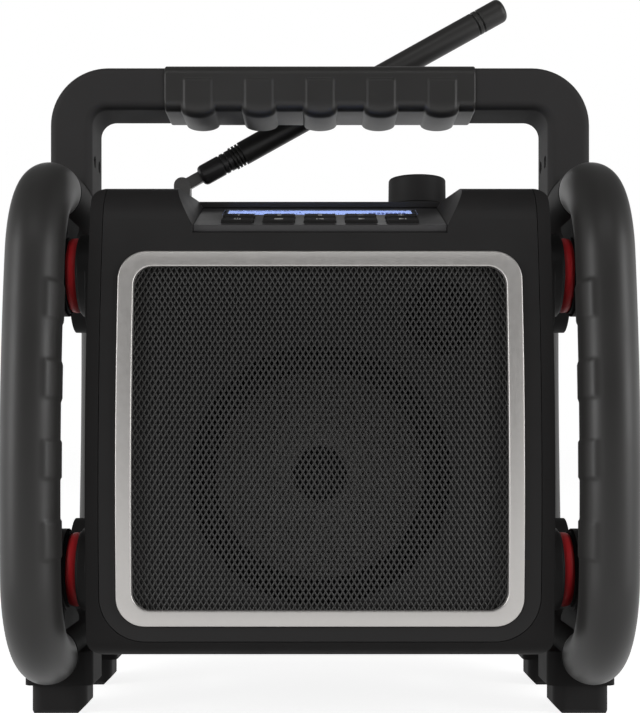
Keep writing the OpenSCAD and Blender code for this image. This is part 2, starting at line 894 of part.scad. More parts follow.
module lcd_module() {
    color("#9fb4d8")
        on_panel() {
            translate([-lcd_w / 2 + lcd_ledge + fit, lcd_y - lcd_l / 2 + lcd_ledge + fit,
                       -panel_t - module_t])
                cube([lcd_w - 2 * lcd_ledge - 2 * fit, lcd_l - 2 * lcd_ledge - 2 * fit,
                      module_t + panel_t - window_t]);
            translate([-lcd_w / 2, lcd_y - lcd_l / 2 + 1, -panel_t - module_t])
                cube([lcd_w, lcd_l - 1, module_t]);
        }
}

module keypad_board() {
    color("#1e4a2c")
        on_panel()
            translate([-post_x - post_d / 2 - 0.5, row_set - board_front, board_z - board_t])
                cube([2 * post_x + post_d + 1, row_pitch + board_front + board_back, board_t]);
    color(STEEL)
        for (i = [1 : 10])
            on_key(i) translate([0, 0, board_z]) cylinder(d = 5, h = 1.4);
}

// One key: cap, skirt that keeps it in the panel, and the stem that meets its switch
module key(i) {
    color(BLACK)
        on_key(i) {
            translate([0, 0, -panel_t - 0.01])
                linear_extrude(panel_t + key_up + 0.01) round_rect(key_w, key_l, 1.2);
            translate([0, 0, -panel_t - key_skirt_t])
                linear_extrude(key_skirt_t)
                    round_rect(key_w + 2 * key_lip, key_l + 2 * key_lip, 1.2);
            translate([0, 0, board_z + 1.4 + key_travel + 0.1])
                cylinder(d = 3.4, h = -panel_t - board_z - 1.4 - key_travel);
        }
}

// ---------------------------------------------------------------- encoder and knob

module encoder_body() {
    w = 15;
    top = cab_hi - wall;
    color(STEEL)
        difference() {
            union() {
                translate([knob_x - w / 2, -w / 2, top - 9]) cube([w, w, 9]);
                translate([knob_x, 0, top - 1]) cylinder(d = shaft_d + 3, h = wall + 1 + 3);
            }
            translate([knob_x, 0, top - 8]) cylinder(d = shaft_d + 2.1, h = 6.5);
            translate([knob_x, 0, shaft_z - push_travel - shaft_rest])
                cylinder(d = shaft_d + 2 * run, h = shaft_l + 10);
        }
}

module encoder_rotor() {
    color("#d8d4c8")
        translate([knob_x, 0, cab_hi - wall - 7])
            difference() {
                cylinder(d = shaft_d + 2, h = 5);
                translate([0, 0, -1]) cylinder(d = shaft_d + 2 * run, h = 7);
            }
}

module encoder_shaft() {
    color(STEEL)
        difference() {
            translate([knob_x, 0, shaft_z]) cylinder(d = shaft_d, h = shaft_l);
            // Flat that drives the knob
            translate([knob_x + shaft_d / 2 - 0.8, -shaft_d, cab_hi + 5])
                cube([shaft_d, 2 * shaft_d, 20]);
        }
}

module volume_knob() {
    r = knob_d / 2;
    color(SOFT_BLACK)
        translate([knob_x, 0, cab_hi + knob_gap])
            difference() {
                rotate_extrude() {
                    polygon([
                        [0, 0], [r - 0.5, 0], [r, 0.5], [r, 2.2], [r - 0.7, 3],
                        [r - 1.3, knob_h - 1.6], [r - 2.9, knob_h], [0, knob_h]
                    ]);
                    translate([r - 2.9, knob_h - 1.6]) circle(1.6);
                }
                translate([0, 0, -1]) cylinder(d = shaft_d + 8, h = 4.5);
                translate([0, 0, -1])
                    cylinder(d = shaft_d, h = shaft_z + shaft_l - cab_hi - knob_gap + 1);
                // Finger dimple in the top
                translate([0, 0, knob_h + 28.6]) sphere(r = 30, $fn = 128);
            }
}

// ---------------------------------------------------------------- electronics and battery

module battery_tray() {
    w = door_w - 2 * ledge - 2 * fit;
    h = door_h - 2 * ledge - 2 * fit;
    y1 = back_y - wall;
    mid = door_z + door_h / 2;
    color("#2a2a2b")
        difference() {
            union() {
                translate([-w / 2, y1 - tray_d, mid - h / 2]) cube([w, tray_d, h]);
                translate([-w / 2 - 4, y1 - 2, mid - h / 2 - 3]) cube([w + 8, 2, h + 6]);
            }
            translate([-w / 2 + tray_wall, y1 - tray_d + tray_wall, mid - h / 2 + tray_wall])
                cube([w - 2 * tray_wall, tray_d, h - 2 * tray_wall]);
        }
}

module battery_contacts() {
    y0 = back_y - wall - tray_d + tray_wall;
    mid = door_z + door_h / 2;
    color("#c9a85a")
        for (sx = [-1, 1])
            translate([sx * (door_w / 2 - contact_in), y0, mid]) {
                translate([-8, 0, -12]) cube([16, 0.8, 24]);
                rotate([-90, 0, 0]) cylinder(d1 = 11, d2 = 7, h = 6);
            }
}

module battery_door() {
    x = door_w / 2;
    arm_z = hinge_z;
    color(BLACK)
        difference() {
            union() {
                translate([-x, back_y - rebate + fit, door_z]) cube([door_w, rebate - fit, door_h]);
                // Stiffening ribs across the outside
                for (i = [1 : 4])
                    translate([-x + 12, back_y, door_z + i * door_h / 5 - 1.5])
                        cube([door_w - 24, 0.9, 3]);
                // Finger lip at the top edge
                translate([-14, back_y, door_z + door_h - 7]) cube([28, 4, 3]);
                // Moving knuckles
                for (s = [-1, 1])
                    translate([s * (x - moving_in) - 7, 0, 0]) {
                        rod_x(knuckle_d, 0, 14, hinge_y, arm_z);
                        translate([0, back_y, arm_z])
                            cube([14, knuckle_d / 2, door_z + 4 - arm_z]);
                    }
            }
            rod_x(pin_d + 2 * run, -x, x, hinge_y, arm_z);
        }
}

// The long pin of the battery door and the short one of the socket flap
module hinge_pins() {
    color(STEEL) {
        rod_x(pin_d, -door_w / 2 + 12, door_w / 2 - 12, hinge_y, hinge_z);
        translate([flap_hinge_x, back_y + flap_barrel_d / 2, flap_z])
            cylinder(d = flap_pin_d, h = 20, center = true);
    }
}

module main_board() {
    z0 = door_z + door_h + board_up;
    y0 = back_y - wall - tray_d + 4;
    w = door_w - 2 * board_side;
    color("#1e4a2c") {
        translate([-w / 2, y0, z0]) cube([w, tray_d - 10, 1.6]);
        for (sx = [-1, 1], y = [y0 + 4, y0 + tray_d - 14])
            translate([sx * (w / 2 - 5), y, door_z + door_h - ledge - fit])
                cylinder(d = 6, h = z0 - door_z - door_h + ledge + fit);
    }
    color(DARK_STEEL) {
        // Heat sink of the amplifier
        translate([-w / 2 + 8, y0 + 6, z0 + 1.6]) cube([34, 4, 18]);
        for (i = [0 : 4])
            translate([-w / 2 + 8 + i * 8, y0 + 9.9, z0 + 1.6]) cube([2, 10, 18]);
        for (x = [8, 22]) translate([x, y0 + 12, z0 + 1.6]) cylinder(d = 10, h = 16);
        translate([34, y0 + 6, z0 + 1.6]) cube([18, 18, 3]);
    }
}

module power_inlet() {
    w = inlet_w - 2 * fit;
    h = inlet_h - 2 * fit;
    color(BLACK)
        translate([-flap_x, back_y, inlet_z])
            difference() {
                union() {
                    translate([-w / 2, -wall - inlet_depth, -h / 2])
                        cube([w, wall + inlet_depth, h]);
                    translate([-w / 2 - 2, -wall - 3, -h / 2 - 2]) cube([w + 4, 3, h + 4]);
                }
                translate([-w / 2 + inlet_wall, -inlet_depth, -h / 2 + inlet_wall])
                    cube([w - 2 * inlet_wall, inlet_depth + wall, h - 2 * inlet_wall]);
            }
    color(STEEL)
        for (s = [-1, 1])
            rod_y(2.4, back_y - inlet_depth - 0.01, back_y - 5, -flap_x + s * 4.3, inlet_z);
}

module socket_plate() {
    w = flap_w - 2 * socket_edge - 2 * fit;
    h = flap_h - 2 * socket_edge - 2 * fit;
    color(BLACK)
        translate([flap_x, back_y, flap_z])
            difference() {
                union() {
                    translate([-w / 2, -wall - 10, -h / 2]) cube([w, wall + 10 - flap_t - 0.6, h]);
                    translate([-w / 2 - 3, -wall - 2, -h / 2 - 3]) cube([w + 6, 2, h + 6]);
                }
                translate([-w / 4, 0, 0]) rotate([90, 0, 0]) cylinder(d = 3.6, h = 11);
                translate([w / 4 - 6.5, -11, -2.5]) cube([13, 20, 5]);
            }
}

module socket_flap() {
    y = back_y + flap_barrel_d / 2;
    color(RUBBER)
        difference() {
            union() {
                translate([flap_x - flap_w / 2, back_y - flap_t + fit, flap_z - flap_h / 2])
                    cube([flap_w, flap_t - fit, flap_h]);
                // Pull tab
                translate([flap_x + flap_w / 2 - 8, back_y, flap_z - 4]) cube([5, 2, 8]);
                // Barrel and strap
                translate([flap_hinge_x, y, flap_z])
                    cylinder(d = flap_barrel_d, h = 13.6, center = true);
                translate([flap_hinge_x, back_y + 0.3, flap_z - 6.8])
                    cube([flap_x - flap_w / 2 + 5 - flap_hinge_x, 1.8, 13.6]);
                translate([flap_x - flap_w / 2, back_y - 0.5, flap_z - 6.8]) cube([5, 2.6, 13.6]);
            }
            translate([flap_hinge_x, y, flap_z])
                cylinder(d = flap_pin_d + 2 * run, h = 30, center = true);
        }
}

// ---------------------------------------------------------------- handle

module bar_section(grow) {
    round_rect(bar_h + 2 * grow, bar_d + 2 * grow, bar_round + grow);
}

module handle() {
    bend_z = bar_z - corner_r;
    bend_x = leg_x - corner_r;
    color(SOFT_BLACK)
        difference() {
            union() {
                translate([-bend_x, 0, bar_z])
                    rotate([0, 90, 0]) linear_extrude(2 * bend_x) bar_section(0);
                for (side = [-1, 1])
                    on_side(side) {
                        translate([bend_x, 0, bend_z])
                            rotate([90, 0, 0])
                                rotate_extrude(angle = 90) translate([corner_r, 0]) bar_section(0);
                        translate([leg_x, 0, arm_hi])
                            linear_extrude(bend_z - arm_hi) bar_section(0);
                    }
            }
            for (side = [-1, 1])
                on_side(side) {
                    // Saddle on the arm
                    rod_y(bumper_d, -bar_d, bar_d, cage_x, arm_hi);
                    // Pocket for the arm's tongue
                    translate([leg_x - tongue_w / 2 - fit, -tongue_d / 2 - fit, arm_hi - 1])
                        cube([tongue_w + 2 * fit, tongue_d + 2 * fit, tongue_top - arm_hi + 2]);
                    for (y = [-leg_bolt_y, leg_bolt_y]) {
                        rod_x(leg_bolt_d + 2 * run, leg_x - bar_h, leg_x + bar_h, y, leg_bolt_z);
                        rod_x(leg_bolt_d + 6, leg_x + bar_h / 2 - 3, leg_x + bar_h, y, leg_bolt_z);
                    }
                }
        }
}

// Finger bump seen from the front: upright sides and an arched bottom, hung from the top
module bump_outline() {
    sag = bump_drop - grip_t;
    arch = (bump_w * bump_w / 4 + sag * sag) / (2 * sag);
    tall = bar_h + grip_t - bump_set;
    translate([-bump_w / 2, -tall]) square([bump_w, tall]);
    intersection() {
        translate([0, arch - tall - sag]) circle(arch, $fn = 96);
        translate([-bump_w / 2, -tall - sag]) square([bump_w, sag + 0.01]);
    }
}

module grip_sleeve() {
    color(RUBBER)
        difference() {
            union() {
                translate([-grip_l / 2, 0, bar_z])
                    rotate([0, 90, 0]) linear_extrude(grip_l) bar_section(grip_t);
                for (i = [0 : bump_n - 1])
                    translate([(i - (bump_n - 1) / 2) * bump_pitch, 0, bar_z + bar_h / 2 - bump_set])
                        along_y(-bar_d / 2 - 2 * grip_t, bar_d / 2 + 2 * grip_t)
                            bump_outline();
            }
            translate([-grip_l, 0, bar_z])
                rotate([0, 90, 0]) linear_extrude(2 * grip_l) bar_section(0);
        }
}

// ---------------------------------------------------------------- side cages

// Sweeps a section round an arc that lies in a plane across X; section X points outwards
module arc_run(cy, cz, r, a0, a1) {
    translate([cage_x, cy, cz])
        rotate([90, 0, 90])
            rotate([0, 0, a0])
                rotate_extrude(angle = a1 - a0, $fn = r > 100 ? BIG_FN : 96)
                    translate([r, 0]) children();
}

// Angle of the lap on an arc of radius r
function lap_angle(r) = lap / r * 180 / PI;

// The two bends of a run, and the long bowed bar that reaches a little into both
module front_bends() {
    arc_run(front_hi_y, bend_hi, bend_r, 90, front_hi_a) children();
    arc_run(front_lo_y, bend_lo, bend_r, front_lo_a, 270) children();
}

module front_bar() {
    a = lap_angle(bow_r);
    arc_run(bow_y, bow_z, bow_r, front_hi_a - a, front_lo_a + a) children();
}

module rear_bends() {
    arc_run(rear_lo_y, bend_lo, bend_r, -90, rear_lo_a) children();
    arc_run(rear_hi_y, bend_hi, bend_r, rear_hi_a, 90) children();
}

module rear_bar() {
    a = lap_angle(rear_bow_r);
    arc_run(rear_cy, rear_bow_z, rear_bow_r, rear_lo_a - a, rear_hi_a + a) children();
}

// Wall of a rubber sleeve, thinned by slim on both faces
module sleeve_section(slim) {
    difference() {
        circle(d = bumper_d - 2 * slim);
        circle(d = core_d + 2 * sleeve_gap + 2 * slim);
    }
}

// Raised pad on the side of the bumper that faces the cabinet
module pad_section() {
    difference() {
        intersection() {
            circle(d = bumper_d + 2 * pad_proud);
            translate([0, -bumper_d / 2]) square([bumper_d * 0.8, bumper_d * 0.8], center = true);
        }
        circle(d = bumper_d - 2);
    }
}

module bumper_front() {
    front_bends() sleeve_section(0);
    front_bar() sleeve_section(step_in);
    half = asin(pad_l / 2 / bow_r);
    for (i = [0 : pad_n - 1]) {
        z = pad_z + (i - (pad_n - 1) / 2) * pad_pitch;
        a = 180 - asin((z - bow_z) / bow_r);
        arc_run(bow_y, bow_z, bow_r, a - half, a + half) pad_section();
    }
}

module bumper_rear() {
    rear_bends() sleeve_section(0);
    rear_bar() sleeve_section(step_in);
    half = asin(pad_l / 2 / rear_bow_r);
    for (i = [0 : pad_n - 1]) {
        z = pad_z + (i - (pad_n - 1) / 2) * pad_pitch;
        a = asin((z - rear_bow_z) / rear_bow_r);
        arc_run(rear_cy, rear_bow_z, rear_bow_r, a - half, a + half) pad_section();
    }
}

module cage_tubes() {
    color(DARK_STEEL)
        for (side = [-1, 1])
            on_side(side)
                union() {
                    front_bends() circle(d = core_d);
                    front_bar() circle(d = core_d - 2 * step_in);
                    rear_bends() circle(d = core_d);
                    rear_bar() circle(d = core_d - 2 * step_in);
                    rod_y(core_d - 2 * step_in, front_hi_y - lap, rear_hi_y + lap, cage_x, arm_hi);
                    rod_y(core_d - 2 * step_in, front_lo_y - lap, rear_lo_y + lap, cage_x, arm_lo);
                }
}

// Boss for a buffer bolt, its lightening ring and the web that joins it to its arm.
// dir is +1 where the arm is above the boss.
module cage_boss(y_side, z, dir, seam_y) {
    r = boss_d / 2;
    y = y_side * buffer_y;
    edge = y_side * (min(abs(seam_y), buffer_y + r) - 0.3);
    difference() {
        union() {
            rod_x(boss_d, boss_x + 1.5, boss_out, y, z);
            rod_x(boss_d - 3, boss_x, boss_out, y, z);
            along_x(boss_x + 2, boss_out - 1.5)
                polygon([
                    [edge, z], [edge, z + dir * buffer_drop],
                    [y - y_side * (r + 14), z + dir * buffer_drop],
                    [y - y_side * (r + 9), z + dir * (buffer_drop - bumper_d / 2 - 1)],
                    [y - y_side * (r + 2), z + dir * (buffer_drop - bumper_d / 2 - 5)],
                    [y - y_side * (r - 2), z + dir * 8], [y - y_side * (r - 2), z]
                ]);
        }
        rod_x(bolt_d + 2 * run, boss_x - 1, boss_out + 1, y, z);
        rod_x(bolt_d + 9, boss_out - 5, boss_out + 1, y, z);
        rod_y(core_d + 2, -cage_d, cage_d, cage_x, z + dir * buffer_drop);
    }
}

module arm_tube(y0, y1, z) {
    difference() {
        rod_y(bumper_d, y0 + 0.2, y1 - 0.2, cage_x, z);
        rod_y(core_d + 2 * sleeve_gap, y0 - 1, y1 + 1, cage_x, z);
    }
}

module upper_arm() {
    arm_tube(front_hi_y, rear_hi_y, arm_hi);
    cage_boss(-1, buffer_hi, 1, front_hi_y);
    cage_boss(1, buffer_hi, 1, rear_hi_y);
    // Tongue that the handle's leg slides over
    difference() {
        translate([leg_x - tongue_w / 2, -tongue_d / 2, arm_hi + core_d / 2 + 1])
            cube([tongue_w, tongue_d, tongue_top - arm_hi - core_d / 2 - 1]);
        for (y = [-leg_bolt_y, leg_bolt_y])
            rod_x(leg_bolt_d + 2 * run, leg_x - bar_h, leg_x + bar_h, y, leg_bolt_z);
    }
}

module lower_arm() {
    block_w = foot_w + 6;
    block_x = cage_x + bumper_d / 2 - block_w;
    arm_tube(front_lo_y, rear_lo_y, arm_lo);
    cage_boss(-1, buffer_lo, -1, front_lo_y);
    cage_boss(1, buffer_lo, -1, rear_lo_y);
    // Blocks that the feet are screwed to, cut off where the arm ends
    for (s = [-1, 1])
        difference() {
            intersection() {
                translate([block_x + block_w / 2, s * foot_y, foot_h])
                    linear_extrude(arm_lift + 1.5) round_rect(block_w, foot_l + 4, 4);
                translate([block_x, front_lo_y + seam, 0])
                    cube([block_w, rear_lo_y - front_lo_y - 2 * seam, cab_lo]);
            }
            rod_y(core_d + 2 * sleeve_gap, -cage_d, cage_d, cage_x, arm_lo);
        }
}

module upper_arm_left() { color(BLACK) on_side(-1) upper_arm(); }
module upper_arm_right() { color(BLACK) on_side(1) upper_arm(); }
module lower_arm_left() { color(BLACK) on_side(-1) lower_arm(); }
module lower_arm_right() { color(BLACK) on_side(1) lower_arm(); }
module bumper_front_left() { color(RUBBER) on_side(-1) bumper_front(); }
module bumper_front_right() { color(RUBBER) on_side(1) bumper_front(); }
module bumper_rear_left() { color(RUBBER) on_side(-1) bumper_rear(); }
module bumper_rear_right() { color(RUBBER) on_side(1) bumper_rear(); }

// ---------------------------------------------------------------- buffers, cups and bolts

// Puts its children, drawn about the X axis, on all eight buffer axes
module on_buffers() {
    for (side = [-1, 1])
        on_side(side)
            for (y = [-buffer_y, buffer_y], z = [buffer_lo, buffer_hi])
                translate([0, y, z]) children();
}

module rubber_buffers() {
    r = buffer_d / 2;
    crown = 0.7;
    ball = (buffer_t * buffer_t / 4 + crown * crown) / (2 * crown);
    color(RED)
        on_buffers()
            translate([cup_x, 0, 0])
                rotate([0, 90, 0])
                    difference() {
                        union() {
                            cylinder(r = r - crown, h = buffer_t);
                            rotate_extrude()
                                intersection() {
                                    translate([r - ball, buffer_t / 2]) circle(ball);
                                    translate([r - 2 * crown, 0]) square([3 * crown, buffer_t]);
                                }
                        }
                        translate([0, 0, -1]) cylinder(d = bolt_d + 2 * run, h = buffer_t + 2);
                    }
}

// Cup on the side wall: a round seat for the buffer and a broader foot towards the middle
module buffer_cups() {
    r = buffer_d / 2 + 1.8;
    foot_x = side_x + cup_h * 0.55;
    color(SOFT_BLACK)
        for (side = [-1, 1])
            on_side(side)
                for (y = [-buffer_y, buffer_y], dir = [-1, 1])
                    translate([0, y, dir > 0 ? buffer_lo : buffer_hi])
                        difference() {
                            union() {
                                along_x(side_x, foot_x) {
                                    circle(r);
                                    translate([-r, min(0, dir * 16)]) square([2 * r, 16]);
                                    translate([-r + 6, min(0, dir * 26)]) square([2 * r - 12, 26]);
                                    for (s = [-1, 1])
                                        translate([s * (r - 8), dir * 18]) circle(8);
                                }
                                along_x(side_x, cup_x - 1) circle(r);
                                along_x(side_x, cup_x) circle(r - 1.2);
                            }
                            rod_x(bolt_d + 2 * run, side_x + 2, cup_x + 1, 0, 0);
                        }
}

module cage_bolts() {
    color(STEEL) {
        on_buffers() {
            rod_x(bolt_d, side_x + 2.5, boss_out - 4.9, 0, 0);
            translate([boss_out - 5, 0, 0])
                rotate([0, 90, 0])
                    difference() {
                        cylinder(d = bolt_d + 6, h = 4.4);
                        translate([0, 0, 1.6]) cylinder(d = bolt_d - 1, h = 5, $fn = 6);
                    }
        }
        for (side = [-1, 1])
            on_side(side)
                for (y = [-leg_bolt_y, leg_bolt_y])
                    difference() {
                        union() {
                            rod_x(leg_bolt_d, leg_x - bar_h / 2 + 1, leg_x + bar_h / 2 - 2.9, y,
                                  leg_bolt_z);
                            rod_x(leg_bolt_d + 5, leg_x + bar_h / 2 - 3, leg_x + bar_h / 2 - 0.2, y,
                                  leg_bolt_z);
                        }
                        translate([leg_x + bar_h / 2 - 1.8, y, leg_bolt_z])
                            rotate([0, 90, 0]) cylinder(d = leg_bolt_d - 1, h = 5, $fn = 6);
                    }
    }
}

module rubber_feet() {
    chamfer = 4;
    color(RUBBER)
        for (side = [-1, 1])
            on_side(side)
                for (s = [-1, 1])
                    translate([cage_x - 2.6, s * foot_y, 0])
                        intersection() {
                            linear_extrude(foot_h) round_rect(foot_w, foot_l, 6);
                            along_y(-foot_l, foot_l)
                                polygon([
                                    [-foot_w / 2 + chamfer, 0], [foot_w / 2 - 1.5, 0],
                                    [foot_w / 2, 1.5], [foot_w / 2, foot_h],
                                    [-foot_w / 2, foot_h], [-foot_w / 2, chamfer]
                                ]);
                            along_x(-foot_w, foot_w)
                                polygon([
                                    [-foot_l / 2 + 2, 0], [foot_l / 2 - 2, 0], [foot_l / 2, 2],
                                    [foot_l / 2, foot_h], [-foot_l / 2, foot_h], [-foot_l / 2, 2]
                                ]);
                        }
}

// ---------------------------------------------------------------- antenna

// Origin on the tilt pivot, X along the antenna as it is stored
module on_pivot() {
    translate([-antenna_x, antenna_y, pivot_z]) rotate([0, -antenna_lean, 0]) children();
}

module antenna_base() {
    color(BLACK)
        translate([-antenna_x, antenna_y, cab_hi])
            difference() {
                union() {
                    cylinder(d = turret_d + 9, h = 2.4);
                    cylinder(d = turret_d + 2, h = base_h);
                }
                translate([0, 0, base_h - 4]) cylinder(d = 8 + 2 * run, h = 5);
                translate([0, 0, -1]) cylinder(d = 5, h = base_h);
            }
}

module antenna_turret() {
    turn_z = cab_hi + base_h + 0.2;
    inner = tongue_t / 2 + fit;
    color(STEEL)
        translate([-antenna_x, antenna_y, 0])
            difference() {
                union() {
                    translate([0, 0, turn_z]) cylinder(d = turret_d, h = turret_h);
                    translate([0, 0, turn_z - 3.6]) cylinder(d = 8, h = 4);
                    for (s = [-1, 1])
                        translate([0, s * (inner + ear_t / 2), 0])
                            along_y(-ear_t / 2, ear_t / 2) {
                                translate([0, pivot_z]) circle(ear_r);
                                translate([-ear_r, turn_z + turret_h - 1])
                                    square([2 * ear_r, pivot_z - turn_z - turret_h + 1]);
                            }
                }
                rod_y(antenna_pin_d, -20, 20, 0, pivot_z);
            }
}

module antenna_pin() {
    reach = tongue_t / 2 + fit + ear_t;
    color(STEEL)
        translate([-antenna_x, antenna_y, 0]) rod_y(antenna_pin_d, -reach, reach, 0, pivot_z);
}

module antenna_collar() {
    color(DARK_STEEL)
        on_pivot()
            difference() {
                union() {
                    along_y(-tongue_t / 2, tongue_t / 2) {
                        circle(ear_r - 0.2);
                        translate([0, -3]) square([collar_set + 1, 6]);
                    }
                    rotate([0, 90, 0])
                        rotate_extrude()
                            polygon([
                                [0, collar_set - 1], [3.4, collar_set - 1],
                                [collar_d / 2 - 0.8, collar_set], [collar_d / 2, collar_set + 1],
                                [collar_d / 2, collar_set + collar_l], [0, collar_set + collar_l]
                            ]);
                }
                rod_y(antenna_pin_d + 2 * run, -20, 20, 0, 0);
            }
}

module antenna_rod() {
    r = rod_d / 2;
    start = collar_set + collar_l;
    color(RUBBER)
        on_pivot()
            rotate([0, 90, 0])
                rotate_extrude() {
                    // Three ridges at the root, plain sleeve, two grooves near the rounded tip
                    translate([0, start]) square([r - 1.2, 6]);
                    for (i = [0 : 2]) translate([0, start + i * 2]) square([r - 0.2, 1.2]);
                    translate([0, sleeve_set + 4]) square([r, antenna_l - 18 - sleeve_set - 4]);
                    for (i = [0 : 1])
                        translate([0, antenna_l - 18 + i * 3]) square([r - 0.9, 1]);
                    for (i = [0 : 1])
                        translate([0, antenna_l - 17 + i * 3]) square([r, 2]);
                    translate([0, antenna_l - 12]) square([r, 9]);
                    translate([0, antenna_l - 3]) square([r - 3, 3]);
                    translate([r - 3, antenna_l - 3]) circle(3);
                }
}

// ---------------------------------------------------------------- parts

front_shell();
rear_shell();
shell_seal();
fascia();
trim_frame();
speaker_grille();
woofer_basket();
woofer_surround();
woofer_cone();
dust_cap();
woofer_magnet();
tweeter_flange();
tweeter_dome();
tweeter_magnet();
control_panel();
lcd_window();
lcd_module();
keypad_board();
key(1);  // key_1
key(2);  // key_2
key(3);  // key_3
key(4);  // key_4
key(5);  // key_5
key(6);  // key_6
key(7);  // key_7
key(8);  // key_8
key(9);  // key_9
key(10);  // key_10
encoder_body();
encoder_rotor();
encoder_shaft();
volume_knob();
main_board();
battery_tray();
battery_contacts();
battery_door();
hinge_pins();
power_inlet();
socket_plate();
socket_flap();
handle();
grip_sleeve();
cage_tubes();
upper_arm_left();
upper_arm_right();
lower_arm_left();
lower_arm_right();
bumper_front_left();
bumper_front_right();
bumper_rear_left();
bumper_rear_right();
rubber_buffers();
buffer_cups();
cage_bolts();
rubber_feet();
antenna_base();
antenna_turret();
antenna_pin();
antenna_collar();
antenna_rod();
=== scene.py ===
"""Looks of a jobsite radio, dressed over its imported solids.

Everything is in metres, in the part's own frame: +X to the right seen from the front, +Y to
the back and +Z up, with the origin on the ground in the middle of the footprint.
"""

import json
import logging
import math
from collections.abc import Sequence
from dataclasses import dataclass
from enum import Enum

import bmesh
import bpy
import numpy as np
from mathutils import Matrix, Vector

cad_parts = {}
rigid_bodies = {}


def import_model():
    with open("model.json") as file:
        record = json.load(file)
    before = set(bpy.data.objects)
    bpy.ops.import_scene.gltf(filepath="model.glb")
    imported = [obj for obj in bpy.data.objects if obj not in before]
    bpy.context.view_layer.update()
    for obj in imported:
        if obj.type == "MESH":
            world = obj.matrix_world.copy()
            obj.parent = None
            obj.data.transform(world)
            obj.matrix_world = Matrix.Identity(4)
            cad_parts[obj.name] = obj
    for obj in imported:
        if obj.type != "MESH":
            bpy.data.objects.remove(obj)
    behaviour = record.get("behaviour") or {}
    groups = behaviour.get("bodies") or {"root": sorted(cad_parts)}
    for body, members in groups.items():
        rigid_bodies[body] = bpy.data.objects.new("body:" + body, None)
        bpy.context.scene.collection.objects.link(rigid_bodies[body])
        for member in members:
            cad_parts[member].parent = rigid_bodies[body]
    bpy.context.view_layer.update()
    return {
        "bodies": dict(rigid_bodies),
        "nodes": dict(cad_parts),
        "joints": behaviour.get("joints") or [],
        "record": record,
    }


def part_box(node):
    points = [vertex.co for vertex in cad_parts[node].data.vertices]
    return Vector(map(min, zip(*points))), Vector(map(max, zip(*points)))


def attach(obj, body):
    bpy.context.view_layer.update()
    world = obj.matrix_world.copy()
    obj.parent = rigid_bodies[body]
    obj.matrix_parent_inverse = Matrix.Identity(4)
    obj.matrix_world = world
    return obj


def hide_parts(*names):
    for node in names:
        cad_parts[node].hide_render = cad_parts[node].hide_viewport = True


MM = 0.001
LOG = logging.getLogger("radio")


# ------------------------------------------------------------------ colours and nodes


def linear(hex_code: str) -> tuple[float, float, float, float]:
    """Turn an sRGB hex colour into linear RGBA.

    Args:
        hex_code: A colour such as "#1d1d1e".

    Returns:
        Red, green, blue and an alpha of 1, ready for a shader socket.
    """

    def channel(start: int) -> float:
        """Return one linear channel, read at this place in the code."""
        share = int(hex_code[start : start + 2], 16) / 255
        return share / 12.92 if share <= 0.04045 else ((share + 0.055) / 1.055) ** 2.4

    return (channel(1), channel(3), channel(5), 1.0)


def add_node(
    tree: bpy.types.NodeTree,
    kind: str,
    inputs: dict[str | int, object] | None = None,
    **settings: object,
) -> bpy.types.Node:
    """Add a node to a tree, with its settings, values and links.

    Args:
        tree: The node tree that gets the node.
        kind: Blender's type name of the node.
        inputs: Socket name or index to a plain value, or to the socket that feeds it, or to
            the node whose first output does.
        **settings: Properties of the node itself.

    Returns:
        The new node.
    """
    node = tree.nodes.new(kind)
    for key, value in settings.items():
        setattr(node, key, value)
    for key, value in (inputs or {}).items():
        if isinstance(value, bpy.types.Node):
            value = value.outputs[0]
        if isinstance(value, bpy.types.NodeSocket):
            tree.links.new(value, node.inputs[key])
        else:
            node.inputs[key].default_value = value
    return node


# ------------------------------------------------------------------ finishes


